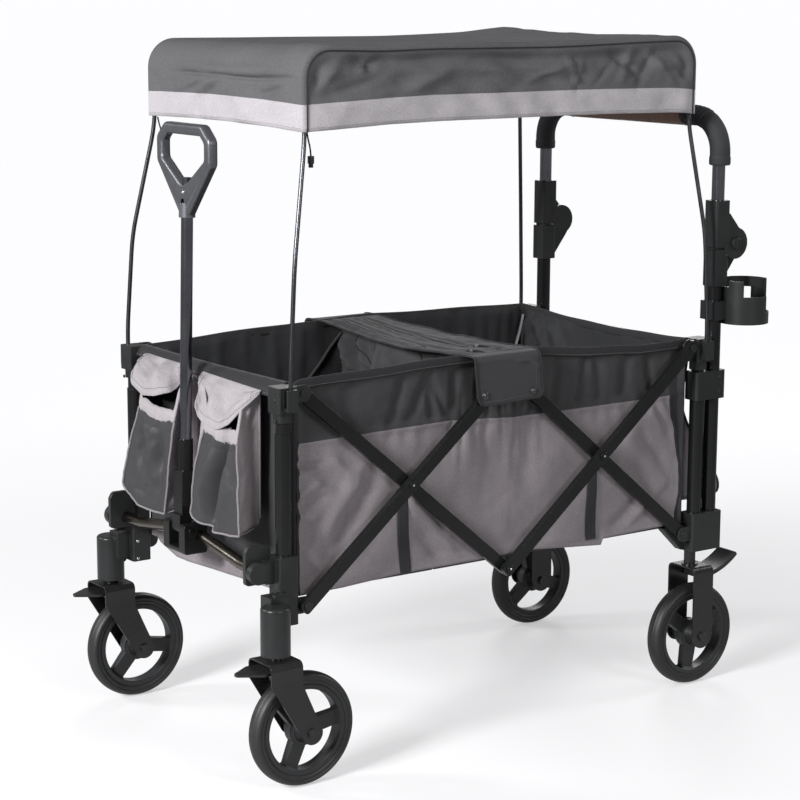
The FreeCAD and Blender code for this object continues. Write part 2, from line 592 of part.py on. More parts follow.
bracket = slab(-479, -438, -34, 34, 322, 369)
bracket = cut(blended(bracket, 4, along("y")), slab(-490, -437.9, -16, 16, 330, 380), cyl("low_rail_radius + 0.05", 90, (-450, -45, 350), "y"))
HPX, HPZ = HP[0] - 8, 359.0
node("pull_bracket", cut(bracket, cyl(4.0, 90, (HPX, -45, HPZ), "y")), cyl(4, 70, (HPX, -35, HPZ), "y"))
yoke = pull_slab(-13, 13, -13.5, 13.5, 20, 100)
tongue = cut(fuse(cyl(8.5, 27, (HPX, -13.5, HPZ), "y"), pull_slab(-17, 4, -13.5, 13.5, 8, 30)), cyl(4.1, 40, (HPX, -20, HPZ), "y"))
sleeve = cyl("pull_outer / 2", 112, on_pull(38), dirn)
outer = fuse(tongue, yoke, sleeve)
outer = cut(outer, cyl("pull_inner / 2 + 0.1", 120, on_pull(46), dirn))
node("pull_outer_tube", outer)
tube = cut(cyl("pull_inner / 2", 392, on_pull(128), dirn), cyl("pull_inner / 2 - 1.5", 400, on_pull(127), dirn))
node("pull_inner_tube", tube)
G0 = val("grip_low")
gx = on_pull((G0 - HP[1]) / math.cos(lean))[0]
outline = rounded([(-13, G0), (13, G0), (83, G0 + 80), (83, G0 + 120), (58, G0 + 142), (-58, G0 + 142), (-83, G0 + 120), (-83, G0 + 80)], [4, 4, 16, 16, 14, 14, 16, 16])
hole = rounded([(0, G0 + 44), (64, G0 + 88), (64, G0 + 113), (51, G0 + 124), (-51, G0 + 124), (-64, G0 + 113), (-64, G0 + 88)], [26, 8, 8, 8, 8, 8, 8])
grip = prism("YZ", [outline, hole], gx - val("grip_depth") / 2 + 1, "grip_depth")
grip = blended(grip, 6.2, lambda e: abs(e.BoundBox.XMax - e.BoundBox.XMin) < 0.01)
grip = fuse(grip, cyl(13, 22, on_pull((G0 - 4 - HP[1]) / math.cos(lean)), dirn))
grip = cut(grip, cyl("pull_inner / 2", 30, on_pull((G0 - 5 - HP[1]) / math.cos(lean)), dirn), cyl("pull_inner / 2 - 1.3", 40, on_pull((G0 + 20 - HP[1]) / math.cos(lean)), dirn))
node("pull_grip", grip)
node("pull_release_button", cyl("pull_inner / 2 - 1.6", 28, on_pull((G0 + 30 - HP[1]) / math.cos(lean)), dirn))

# ---------------------------------------------------------------- canopy
CF, CR, CH, CL, CT = val("canopy_front"), val("canopy_rear"), val("canopy_half"), val("canopy_low"), val("canopy_top")
cc, sk_ = val("canopy_corner"), val("canopy_skin")
shell = prism("XZ", [rounded([(CF, CL), (CR, CL), (CR, CT), (CF, CT)], [0, 0, cc, cc])], -CH, "2 * canopy_half")
hollow = prism("XZ", [rounded([(CF + sk_, CL - 1), (CR - sk_, CL - 1), (CR - sk_, CT - sk_), (CF + sk_, CT - sk_)], [0, 0, cc - sk_, cc - sk_])], -CH + sk_, "2 * canopy_half - 2 * canopy_skin")
node("canopy_fabric", cut(shell, hollow))
by = CH - sk_ - val("bow_radius") - 0.6
bow = swept([(-419, -256, 589), (-419, -256, 645), (-409, -252, 800), (CF + 7.5, -by, 985), (CF + 8.5, -by, CT - 7.5), (CR - 8.5, -by, CT - 7.5), (CR - 7.5, -by, 985), (411, -252, 800), (418, -256, 645), (418, -256, 589)], [600, 400, 300, 42, 42, 300, 400, 600], val("bow_radius"))
pair("canopy_bows", bow)

# drawcords at the two front corners of the hem, each ending in a spring toggle
CORD = [(CF + 12, -228.0, CL + 0.0), (CF + 14.5, -227.6, CL - 12.0), (CF + 18.5, -227.2, CL - 24.0), (CF + 19.5, -227.0, CL - 36.0)]


def cord(label, side, points):
    pts = [(x, side * abs(y), z) for x, y, z in points]
    radii = []
    for k in range(1, len(pts) - 1):
        a, b, c = (V(*pts[j]) for j in (k - 1, k, k + 1))
        turn = math.pi - (a - b).getAngle(c - b)
        radii.append(0.45 * min((a - b).Length, (c - b).Length) / math.tan(turn / 2))
    print(label, "arc radii mm", ["%.1f" % r for r in radii])
    o = swept(pts, radii, val("cord_radius"))
    node(label, o)


cord("canopy_cord_near", -1, CORD)
cord("canopy_cord_far", 1, CORD)
tx, ty, tz = CORD[-1]
pair("cord_toggles", fuse(cyl(5, 11, (tx, ty, tz - 11)), cyl(3.6, 6, (tx, ty, tz - 17))))

# ---------------------------------------------------------------- soft body: tub, floor, divider, pockets, straps
HL, HW, TL, TT, TS = val("tub_half_length"), val("tub_half_width"), val("tub_low"), val("tub_top"), val("tub_skin")
tub = cut(box("2 * tub_half_length", "2 * tub_half_width", "tub_top - tub_low", (-HL, -HW, TL)),
          box("2 * tub_half_length - 2 * tub_skin", "2 * tub_half_width - 2 * tub_skin", "tub_top", (-HL + TS, -HW + TS, TL + TS)))
node("tub", tub)
node("floor_pad", slab(-HL + 8, HL - 8, -HW + 8, HW - 8, TL + TS + 0.3, TL + TS + 9))
saddle = cut(prism("YZ", [rounded([(-264, 548), (264, 548), (264, 634), (-264, 634)], [0, 0, 8, 8])], -68, 140),
             prism("YZ", [rounded([(-261, 540), (261, 540), (261, 628.4), (-261, 628.4)], [0, 0, 6, 6])], -70, 144))
node("bridge_saddle", saddle)
node("divider_wall", slab(-46, -43, -HW + 6, HW - 6, 330, 627))
pair("side_straps", slab(MX - 10.5, MX + 10.5, -231.6, -230.1, TL, 428), slab(-MX - 10.5, -MX + 10.5, -231.6, -230.1, TL, 428))
pair("flap_snaps", cyl(5, 1.6, (-50, -265.6, 569), "y"), cyl(5, 1.6, (44, -265.6, 571), "y"))
# front pockets, either side of the pull handle; open at the top
side = [(-HL - 6, 560), (-HL - 6, 372), (-476, 366), (-484, 380), (-472, 540)]
inside = [(-HL - 9, 590), (-HL - 9, 378), (-473, 372), (-480, 384), (-469, 542), (-469, 590)]
pocket = cut(prism("XZ", [poly(side)], -205, 170), prism("XZ", [poly(inside)], -202, 164))
pair("front_pockets", pocket)
# rear storage pocket, tucked between the push tubes
rear = [(438, 560), (505, 372), (512, 335), (470, 322), (438, 326)]
rear_in = [(441, 590), (446, 552), (502, 371), (508.5, 338), (469, 325.5), (441, 329)]
node("rear_pocket", cut(prism("XZ", [poly([(HL + 4, 585), (438, 585)] + rear[0:] + [(436, 326), (HL + 4, 330)])], -200, 400), prism("XZ", [poly([(HL + 7, 600), (438, 600)] + [(438, 560), (502, 371), (508.5, 338), (469, 326), (436, 330), (HL + 7, 334)])], -197, 394)))

doc.recompute()
bad = [o.Name + " " + o.Label + ":" + ",".join(o.State) + str([p.Name for p in getattr(o, "Shapes", [])]) for o in doc.Objects if "Invalid" in o.State or "Error" in o.State]
if bad:
    raise RuntimeError("failed objects: " + "; ".join(bad))
os.makedirs("parts", exist_ok=True)
names = set()
for o in NODES:
    s = o.Shape
    if s.isNull() or not s.isValid() or not s.Solids:
        raise RuntimeError("bad shape: " + o.Label)
    if o.Label in names:
        raise RuntimeError("name used twice: " + o.Label)
    names.add(o.Label)
    s.exportStep("parts/" + o.Label + ".step")
lo = [min(getattr(o.Shape.BoundBox, k) for o in NODES) for k in ("XMin", "YMin", "ZMin")]
hi = [max(getattr(o.Shape.BoundBox, k) for o in NODES) for k in ("XMax", "YMax", "ZMax")]
print("nodes", len(NODES), "box", [round(v, 2) for v in lo], [round(v, 2) for v in hi])
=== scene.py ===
"""The looks of a folding kids pull wagon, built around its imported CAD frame. Sizes in the helpers are millimetres."""

import json
import math

import bpy
import numpy as np
from mathutils import Matrix, Vector

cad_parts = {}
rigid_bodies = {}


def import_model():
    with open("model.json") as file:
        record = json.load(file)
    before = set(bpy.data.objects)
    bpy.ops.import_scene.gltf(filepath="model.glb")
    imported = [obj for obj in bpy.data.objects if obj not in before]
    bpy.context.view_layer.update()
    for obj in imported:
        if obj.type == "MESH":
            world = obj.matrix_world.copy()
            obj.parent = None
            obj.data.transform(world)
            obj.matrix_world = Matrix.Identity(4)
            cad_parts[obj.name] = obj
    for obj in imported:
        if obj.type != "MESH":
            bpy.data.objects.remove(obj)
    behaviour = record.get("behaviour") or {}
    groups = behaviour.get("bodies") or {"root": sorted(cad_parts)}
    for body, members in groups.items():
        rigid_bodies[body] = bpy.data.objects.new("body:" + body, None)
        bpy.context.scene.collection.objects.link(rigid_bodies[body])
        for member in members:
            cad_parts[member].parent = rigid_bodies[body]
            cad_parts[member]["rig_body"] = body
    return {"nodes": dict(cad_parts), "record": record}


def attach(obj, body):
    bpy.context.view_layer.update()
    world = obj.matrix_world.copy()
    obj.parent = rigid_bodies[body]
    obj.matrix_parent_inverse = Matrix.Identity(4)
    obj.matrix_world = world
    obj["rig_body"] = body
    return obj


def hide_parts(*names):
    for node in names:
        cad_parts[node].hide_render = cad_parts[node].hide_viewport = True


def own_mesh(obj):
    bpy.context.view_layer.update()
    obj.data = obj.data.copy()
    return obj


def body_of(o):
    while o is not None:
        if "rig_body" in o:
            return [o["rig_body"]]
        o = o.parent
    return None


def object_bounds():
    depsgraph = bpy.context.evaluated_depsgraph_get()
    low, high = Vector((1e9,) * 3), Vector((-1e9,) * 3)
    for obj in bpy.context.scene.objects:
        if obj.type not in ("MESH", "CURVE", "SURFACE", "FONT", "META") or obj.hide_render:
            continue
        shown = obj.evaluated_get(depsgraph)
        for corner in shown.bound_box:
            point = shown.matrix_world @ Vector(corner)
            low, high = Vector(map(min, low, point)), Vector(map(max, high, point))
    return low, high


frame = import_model()
cad_low, cad_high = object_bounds()
NODES = frame["nodes"]
SHIFT = -13.0  # the drawing's X to the row frame's X, in mm
SCENE = bpy.context.scene


# ---------------------------------------------------------------- helpers
def rowpt(p):
    """Drawing millimetres to row-frame metres."""
    return ((p[0] + SHIFT) / 1000.0, p[1] / 1000.0, p[2] / 1000.0)


def hashed(i, j, k, seed):
    n = (i * 374761393 + j * 668265263 + k * 1440662683 + seed * 974634777) & 0x7FFFFFFF
    n = ((n ^ (n >> 13)) * 1274126177) & 0x7FFFFFFF
    n = ((n ^ (n >> 15)) * 668265263) & 0x7FFFFFFF
    return ((n ^ (n >> 16)) & 0xFFFFFF) / float(0xFFFFFF) * 2.0 - 1.0


def noise(x, y=0.0, z=0.0, seed=0):
    """Smooth lattice noise from -1 to 1, the same each run."""
    x, y, z = np.broadcast_arrays(*[np.asarray(v, float) for v in (x, y, z)])
    xi, yi, zi = (np.floor(v).astype(np.int64) for v in (x, y, z))
    u, v, w = (f * f * f * (f * (f * 6 - 15) + 10) for f in (x - xi, y - yi, z - zi))
    total = 0.0
    for a in (0, 1):
        for b in (0, 1):
            for c in (0, 1):
                weight = (u if a else 1 - u) * (v if b else 1 - v) * (w if c else 1 - w)
                total = total + weight * hashed(xi + a, yi + b, zi + c, seed)
    return total


def fbm(x, y=0.0, z=0.0, seed=0, octaves=3):
    total, size = 0.0, 1.0
    for o in range(octaves):
        total = total + noise(np.asarray(x) / size, np.asarray(y) / size, np.asarray(z) / size, seed + o) * size
        size *= 0.5
    return total / 1.75


def smooth(a, b, v):
    t = np.clip((np.asarray(v, float) - a) / (b - a), 0, 1)
    return t * t * (3 - 2 * t)


def bump(v, centre, width):
    return np.exp(-(((np.asarray(v, float) - centre) / width) ** 2))


def crease(u, v, a, b, width, amp, sharp=1.0, taper=0.25):
    """A fold along the line a to b in the sheet's own plane: amp high, width wide, fading out at its ends."""
    a, b = np.array(a, float), np.array(b, float)
    d = b - a
    length = math.hypot(*d)
    d = d / length
    along = (u - a[0]) * d[0] + (v - a[1]) * d[1]
    across = -(u - a[0]) * d[1] + (v - a[1]) * d[0]
    ends = smooth(-taper * length, taper * length, along) * (1 - smooth((1 - taper) * length, (1 + taper) * length, along))
    return amp * ends * np.exp(-np.abs(across / width) ** (2 * sharp))


def new_mesh(name, verts, faces, mats, face_mats=None, uvs=None, smooth_shade=True):
    """verts in drawing mm. uvs is one pair, in metres, for each face corner."""
    mesh = bpy.data.meshes.new(name)
    mesh.from_pydata([rowpt(p) for p in verts], [], [tuple(int(i) for i in f) for f in faces])
    for m in mats:
        mesh.materials.append(m)
    if face_mats is not None:
        mesh.polygons.foreach_set("material_index", np.asarray(face_mats, np.int32))
    if uvs is not None:
        layer = mesh.uv_layers.new(name="cloth")
        layer.data.foreach_set("uv", np.asarray(uvs, np.float32).ravel())
    if smooth_shade:
        mesh.polygons.foreach_set("use_smooth", np.ones(len(mesh.polygons), bool))
    mesh.validate()
    mesh.update()
    obj = bpy.data.objects.new(name, mesh)
    SCENE.collection.objects.link(obj)
    return obj


def applied(obj, *specs):
    """Adds each (type, settings) modifier and applies it to the mesh."""
    for kind, settings in specs:
        mod = obj.modifiers.new(kind.lower(), kind)
        for k, v in settings.items():
            setattr(mod, k, v)
    dg = bpy.context.evaluated_depsgraph_get()
    dg.update()
    made = bpy.data.meshes.new_from_object(obj.evaluated_get(dg), preserve_all_data_layers=True, depsgraph=dg)
    old, name = obj.data, obj.data.name
    obj.modifiers.clear()
    obj.data = made
    bpy.data.meshes.remove(old)
    made.name = name
    return obj


def solid(thick, offset=0.0, even=True):
    return ("SOLIDIFY", {"thickness": thick / 1000.0, "offset": offset, "use_even_offset": even, "use_rim": True})


def subdivided(levels=1):
    return ("SUBSURF", {"levels": levels, "render_levels": levels})


def joined(name, *objs):
    """One object from several, keeping their materials."""
    for o in bpy.context.selected_objects:
        o.select_set(False)
    with bpy.context.temp_override(active_object=objs[0], selected_editable_objects=list(objs), selected_objects=list(objs)):
        bpy.ops.object.join()
    objs[0].name = name
    objs[0].data.name = name
    return objs[0]


def grid(name, pts, mats, mat_of=None, uv=None, thick=1.2, offset=0.0, close_u=False, close_v=False, levels=0, flip=False, shade=True):
    """A sheet from pts[i, j] in mm. mat_of(i, j) is each cell's material."""
    nu, nv = pts.shape[:2]
    if uv is None:
        du = np.linalg.norm(np.diff(pts, axis=0), axis=2)
        dv = np.linalg.norm(np.diff(pts, axis=1), axis=2)
        u = np.vstack([np.zeros((1, nv)), np.cumsum(np.repeat(du.mean(1, keepdims=True), nv, 1), 0)])
        v = np.hstack([np.zeros((nu, 1)), np.cumsum(np.repeat(dv.mean(0, keepdims=True), nu, 0), 1)])
        uv = np.stack([u, v], 2) / 1000.0
    faces, fm, corners = [], [], []
    for i in range(nu if close_u else nu - 1):
        for j in range(nv if close_v else nv - 1):
            i2, j2 = (i + 1) % nu, (j + 1) % nv
            quad = [(i, j), (i2, j), (i2, j2), (i, j2)]
            if flip:
                quad.reverse()
            faces.append([a * nv + b for a, b in quad])
            fm.append(mat_of(i, j) if mat_of else 0)
            for a, b in quad:
                w = uv[a, b].copy()
                if a == 0 and i == nu - 1:
                    w[0] = uv[-1, b, 0] + (uv[1, b, 0] - uv[0, b, 0])
                if b == 0 and j == nv - 1:
                    w[1] = uv[a, -1, 1] + (uv[a, 1, 1] - uv[a, 0, 1])
                corners.append(w)
    obj = new_mesh(name, pts.reshape(-1, 3), faces, mats, fm, corners, shade)
    steps = []
    if levels:
        steps.append(subdivided(levels))
    if thick:
        steps.append(solid(thick, offset))
    return applied(obj, *steps) if steps else obj


def curve_points(points, step=6.0, closed=False):
    """Catmull-Rom samples about step mm apart through the points."""
    p = np.array(points, float)
    n = len(p)
    out = []
    for i in range(n if closed else n - 1):
        if closed:
            a, b, c, d = p[(i - 1) % n], p[i], p[(i + 1) % n], p[(i + 2) % n]
        else:
            b, c = p[i], p[i + 1]
            a = p[i - 1] if i else 2 * b - c
            d = p[i + 2] if i + 2 < n else 2 * c - b
        k = max(1, int(round(np.linalg.norm(c - b) / step)))
        for t in np.arange(k) / k:
            out.append(0.5 * (2 * b + (c - a) * t + (2 * a - 5 * b + 4 * c - d) * t**2 + (3 * b - a - 3 * c + d) * t**3))
    if not closed:
        out.append(p[-1])
    return np.array(out)


def frames_along(path, closed=False, up=None):
    """Tangent, and two normals carried along the path without twist."""
    n = len(path)
    t = np.array([(path[(i + 1) % n] - path[i - 1]) if closed or 0 < i < n - 1 else (path[1] - path[0] if i == 0 else path[-1] - path[-2]) for i in range(n)])
    t /= np.linalg.norm(t, axis=1, keepdims=True)
    if up is not None:
        a = np.array(up, float) - t * (t @ np.array(up, float))[:, None]
        a /= np.linalg.norm(a, axis=1, keepdims=True)
        return t, a, np.cross(t, a)
    first = np.cross(t[0], (0, 0, 1) if abs(t[0][2]) < 0.9 else (1, 0, 0))
    a = [first / np.linalg.norm(first)]
    for i in range(1, n):
        v = a[-1] - t[i] * (a[-1] @ t[i])
        a.append(v / np.linalg.norm(v))
    a = np.array(a)
    if closed:
        v = a[-1] - t[0] * (a[-1] @ t[0])
        v /= np.linalg.norm(v)
        twist = math.atan2(np.cross(v, a[0]) @ t[0], v @ a[0])
        b = np.cross(t, a)
        ang = twist * np.arange(n)[:, None] / n
        a = a * np.cos(ang) + b * np.sin(ang)
    return t, a, np.cross(t, a)


def sweep(name, path, section, mats, closed=False, up=None, caps=True, mat_of=None, thick=0):
    """section(i, angles) gives the offsets (a, b) in mm at path point i, or is a fixed list of (a, b)."""
    path = np.array(path, float)
    t, a, b = frames_along(path, closed, up)
    rings = []
    for i in range(len(path)):
        s = np.array(section(i) if callable(section) else section, float)
        rings.append(path[i] + s[:, :1] * a[i] + s[:, 1:2] * b[i])
    pts = np.array(rings)
    nu, nv = pts.shape[:2]
    along = np.concatenate([[0], np.cumsum(np.linalg.norm(np.diff(path, axis=0), axis=1))])
    round_it = np.concatenate([[0], np.cumsum(np.linalg.norm(np.diff(pts[0], axis=0), axis=1))])
    last_u = along[-1] + np.linalg.norm(path[0] - path[-1])
    last_v = round_it[-1] + np.linalg.norm(pts[0, 0] - pts[0, -1])
    faces, fm, corners = [], [], []
    for i in range(nu if closed else nu - 1):
        for j in range(nv):
            i2, j2 = (i + 1) % nu, (j + 1) % nv
            faces.append([i * nv + j, i * nv + j2, i2 * nv + j2, i2 * nv + j])
            fm.append(mat_of(i, j) if mat_of else 0)
            u0, u1 = along[i], (along[i2] if i2 else last_u)
            v0, v1 = round_it[j], (round_it[j2] if j2 else last_v)
            corners += [(u0, v0), (u0, v1), (u1, v1), (u1, v0)]
    verts = [p for p in pts.reshape(-1, 3)]
    if caps and not closed:
        for end, ring in ((0, list(range(nv))), (nu - 1, list(range(nv))[::-1])):
            centre = len(verts)
            verts.append(pts[end].mean(0))
            for j in range(nv):
                p, q = ring[j], ring[(j + 1) % nv]
                faces.append([centre, end * nv + q, end * nv + p])
                fm.append(mat_of(end, 0) if mat_of else 0)
                corners += [(0, 0), (0.5, 0), (0, 0.5)]
    return new_mesh(name, verts, faces, mats, fm, np.array(corners) / 1000.0)


def circle(r, n=12, r2=None, turn=0.0):
    w = np.arange(n) * 2 * math.pi / n + turn
    return np.stack([r * np.cos(w), (r if r2 is None else r2) * np.sin(w)], 1)


def tube(name, points, r, mats, sides=12, step=6.0, closed=False, smooth_path=True, up=None):
    path = curve_points(points, step, closed) if smooth_path else np.array(points, float)
    return sweep(name, path, circle(r, sides), mats, closed=closed, up=up)


def lathe(name, profile, mats, centre, axis="y", n=48, mat_of=None, closed_profile=True, radius=None):
    """profile is (radius, along) pairs in mm, turned about axis through centre. radius(r, along, angle) may vary it."""
    prof = np.array(profile, float)
    w = np.arange(n) * 2 * math.pi / n
    pts = np.zeros((n, len(prof), 3))
    for i, ang in enumerate(w):
        r = prof[:, 0] if radius is None else radius(prof[:, 0], prof[:, 1], ang)
        c, s = r * math.cos(ang), r * math.sin(ang)
        if axis == "y":
            pts[i] = np.stack([c, prof[:, 1], s], 1)
        elif axis == "z":
            pts[i] = np.stack([c, s, prof[:, 1]], 1)
        else:
            pts[i] = np.stack([prof[:, 1], c, s], 1)
    pts += np.array(centre, float)
    flip = axis in ("z",)
    return grid(name, pts, mats, mat_of=mat_of, thick=0, close_u=True, close_v=closed_profile, flip=flip)


def outward(obj):
    """Makes the faces of a closed mesh point outwards."""
    import bmesh

    bm = bmesh.new()
    bm.from_mesh(obj.data)
    bmesh.ops.recalc_face_normals(bm, faces=bm.faces)
    bm.to_mesh(obj.data)
    bm.free()
    return obj


def body(obj, name, replaces=()):
    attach(obj, name)
    if replaces:
        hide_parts(*replaces)
    return obj


# ---------------------------------------------------------------- materials
class Nodes:
    """A small builder for a node tree."""

    def __init__(self, name):
        self.mat = bpy.data.materials.new(name)
        self.mat.use_nodes = True
        self.tree = self.mat.node_tree
        self.bsdf = next(n for n in self.tree.nodes if n.type == "BSDF_PRINCIPLED")
        self.coord = self.tree.nodes.new("ShaderNodeTexCoord")

    def add(self, kind, **settings):
        n = self.tree.nodes.new(kind)
        inputs = settings.pop("inputs", {})
        for k, v in settings.items():
            setattr(n, k, v)
        for k, v in inputs.items():
            if isinstance(v, bpy.types.NodeSocket):
                self.tree.links.new(v, n.inputs[k])
            else:
                n.inputs[k].default_value = v
        return n

    def link(self, a, b):
        self.tree.links.new(a, b)

    def math(self, op, a, b=0.0, clamp=False):
        n = self.add("ShaderNodeMath", operation=op, use_clamp=clamp)
        for i, v in enumerate((a, b)):
            if isinstance(v, bpy.types.NodeSocket):
                self.link(v, n.inputs[i])
            else:
                n.inputs[i].default_value = v
        return n.outputs[0]

    def noise(self, scale, detail=2.0, rough=0.5, vector=None, distortion=0.0):
        n = self.add("ShaderNodeTexNoise", inputs={"Scale": scale, "Detail": detail, "Roughness": rough, "Distortion": distortion})
        self.link(vector or self.coord.outputs["Object"], n.inputs["Vector"])
        return n.outputs["Fac"]

    def ramp(self, fac, stops):
        n = self.add("ShaderNodeValToRGB")
        e = n.color_ramp.elements
        while len(e) < len(stops):
            e.new(0.5)
        for el, (pos, col) in zip(e, stops):
            el.position = pos
            el.color = (*col, 1.0) if len(col) == 3 else col
        self.link(fac, n.inputs["Fac"])
        return n.outputs["Color"]

    def mix(self, fac, a, b, mode="MIX"):
        n = self.add("ShaderNodeMix", data_type="RGBA", blend_type=mode)
        for sock, v in ((n.inputs[0], fac), (n.inputs[6], a), (n.inputs[7], b)):
            if isinstance(v, bpy.types.NodeSocket):
                self.link(v, sock)
            elif isinstance(v, (int, float)):
                sock.default_value = v
            else:
                sock.default_value = (*v, 1.0)
        return n.outputs[2]

    def scaled(self, v, lo, hi):
        n = self.add("ShaderNodeMapRange", inputs={"To Min": lo, "To Max": hi})
        self.link(v, n.inputs["Value"])
        return n.outputs["Result"]

    def bump(self, height, strength, distance, normal=None):
        n = self.add("ShaderNodeBump", inputs={"Strength": strength, "Distance": distance})
        self.link(height, n.inputs["Height"])
        if normal is not None:
            self.link(normal, n.inputs["Normal"])
        return n.outputs["Normal"]

    def set(self, **values):
        for k, v in values.items():
            sock = self.bsdf.inputs[k.replace("_", " ")]
            if isinstance(v, bpy.types.NodeSocket):
                self.link(v, sock)
            elif isinstance(v, tuple) and len(v) == 3:
                sock.default_value = (*v, 1.0)
            else:
                sock.default_value = v
        return self


def scale_rgb(c, k):
    return tuple(min(1.0, x * k) for x in c)


def fabric(name, colour, thread=0.55, variation=0.12, rough=0.82, sheen=0.06, bump_mm=0.06, pucker=0.0, streak=0.0, ribs=0.0, uv=True, spec=0.2):
    """Plain-woven cloth: warp and weft thread mm apart, slubs, broad shade variation and fine fuzz."""
    n = Nodes(name)
    if uv:
        src = n.add("ShaderNodeUVMap", uv_map="cloth").outputs["UV"]
    else:
        src = n.coord.outputs["Object"]
    sep = n.add("ShaderNodeSeparateXYZ")
    n.link(src, sep.inputs[0])
    k = 2 * math.pi / (thread / 1000.0)
    warp = n.math("SINE", n.math("MULTIPLY", sep.outputs[0], k))
    weft = n.math("SINE", n.math("MULTIPLY", sep.outputs[1], k))
    weave = n.math("MULTIPLY", warp, weft)
    if not uv:
        weave = n.math("MULTIPLY", weave, n.math("SINE", n.math("MULTIPLY", n.math("ADD", sep.outputs[2], 0.3), k)))
    slub = n.noise(420.0, 2.0)
    fine = n.noise(1500.0, 1.0)
    broad = n.noise(9.0, 4.0, 0.6)
    wide = n.noise(2.3, 2.0, 0.5)
    height = n.math("ADD", n.math("MULTIPLY", weave, 0.5), n.math("MULTIPLY", slub, 0.7))
    height = n.math("ADD", height, n.math("MULTIPLY", fine, 0.25))
    if ribs:
        wave = n.math("SINE", n.math("MULTIPLY", sep.outputs[1], 2 * math.pi / (ribs / 1000.0)))
        height = n.math("ADD", n.math("MULTIPLY", wave, 2.2), height)
    tone = n.math("ADD", n.math("MULTIPLY", broad, 0.55), n.math("MULTIPLY", wide, 0.45))
    if streak:
        stretch = n.add("ShaderNodeMapping", inputs={"Scale": (1.0, 0.12, 1.0)})
        n.link(src, stretch.inputs["Vector"])
        tone = n.math("ADD", tone, n.math("MULTIPLY", n.math("SUBTRACT", n.noise(120.0, 3.0, 0.6, stretch.outputs[0]), 0.5), streak))
    base = n.ramp(tone, [(0.28, scale_rgb(colour, 1 - variation)), (0.72, scale_rgb(colour, 1 + variation))])
    thread_tone = n.ramp(n.math("ADD", n.math("MULTIPLY", weave, 0.25), n.math("MULTIPLY", slub, 0.9)), [(0.25, (0.80, 0.80, 0.80)), (0.75, (1.12, 1.12, 1.12))])
    n.set(
        Base_Color=n.mix(1.0, base, thread_tone, "MULTIPLY"),
        Roughness=n.scaled(slub, rough - 0.07, min(1.0, rough + 0.07)),
        Sheen_Weight=sheen,
        Sheen_Roughness=0.45,
        Sheen_Tint=(0.95, 0.93, 0.97),
        Specular_IOR_Level=spec,
        Normal=n.bump(height, 0.55, bump_mm / 1000.0, n.bump(n.noise(55.0, 3.0, 0.6), 0.35, pucker / 1000.0) if pucker else None),
    )
    return n.mat


def coated(name, colour, rough=0.42, grain=900.0, grain_mm=0.03, spec=0.45, coat=0.0, edge=0.9, metallic=0.0, dust=0.12):
    """Powder coat or moulded plastic: fine orange peel, uneven gloss, paler worn edges and a trace of dust on top."""
    n = Nodes(name)
    peel = n.noise(grain, 2.0, 0.55)
    soft = n.noise(38.0, 4.0, 0.6)
    hand = n.noise(11.0, 3.0, 0.6)
    geo = n.add("ShaderNodeNewGeometry")
    worn = n.ramp(n.math("ADD", geo.outputs["Pointiness"], n.math("MULTIPLY", n.math("SUBTRACT", soft, 0.5), 0.06)), [(0.53, (0, 0, 0)), (0.60, (1, 1, 1))])
    up = n.add("ShaderNodeSeparateXYZ")
    n.link(geo.outputs["Normal"], up.inputs[0])
    dusty = n.math("MULTIPLY", n.math("MAXIMUM", up.outputs[2], 0.0), n.scaled(hand, 0.0, dust))
    base = n.ramp(soft, [(0.3, scale_rgb(colour, 0.88)), (0.7, scale_rgb(colour, 1.14))])
    base = n.mix(n.math("MULTIPLY", worn, 0.35 * edge), base, scale_rgb(colour, 2.3))
    base = n.mix(dusty, base, (0.30, 0.29, 0.28))
    soften = n.add("ShaderNodeBevel", samples=4, inputs={"Radius": 0.0014})
    n.set(
        Base_Color=base,
        Roughness=n.scaled(n.math("ADD", n.math("MULTIPLY", hand, 0.6), n.math("MULTIPLY", soft, 0.4)), rough - 0.09, rough + 0.11),
        Specular_IOR_Level=spec,
        Metallic=metallic,
        Coat_Weight=coat,
        Coat_Roughness=0.18,
        Normal=n.bump(peel, 0.5, grain_mm / 1000.0, soften.outputs["Normal"]),
    )
    return n.mat


def rubber(name, colour, rough=0.5):
    n = Nodes(name)
    mould = n.noise(700.0, 3.0, 0.6)
    scuff = n.noise(60.0, 5.0, 0.7)
    hand = n.noise(14.0, 3.0, 0.6)
    base = n.ramp(scuff, [(0.35, scale_rgb(colour, 0.8)), (0.62, colour), (0.78, scale_rgb(colour, 1.9))])
    n.set(
        Base_Color=base,
        Roughness=n.scaled(hand, rough - 0.12, rough + 0.16),
        Specular_IOR_Level=0.45,
        Normal=n.bump(mould, 0.5, 0.00005, n.bump(scuff, 0.3, 0.0002)),
    )
    return n.mat


def leather(name, colour):
    n = Nodes(name)
    cells = n.add("ShaderNodeTexVoronoi", feature="DISTANCE_TO_EDGE", inputs={"Scale": 620.0, "Randomness": 0.9})
    n.link(n.coord.outputs["Object"], cells.inputs["Vector"])
    pores = n.scaled(cells.outputs["Distance"], 0.0, 1.0)
    broad = n.noise(26.0, 5.0, 0.65)
    base = n.ramp(broad, [(0.3, scale_rgb(colour, 0.72)), (0.55, colour), (0.8, scale_rgb(colour, 1.28))])
    base = n.mix(n.math("MULTIPLY", n.math("SUBTRACT", 0.25, n.math("MINIMUM", pores, 0.25)), 2.0), base, scale_rgb(colour, 0.45))
    n.set(
        Base_Color=base,
        Roughness=n.scaled(broad, 0.42, 0.62),
        Specular_IOR_Level=0.45,
        Coat_Weight=0.06,
        Coat_Roughness=0.3,
        Normal=n.bump(n.math("MINIMUM", pores, 0.35), 0.6, 0.00025, n.bump(n.noise(90.0, 3.0), 0.4, 0.0004)),
    )
    return n.mat


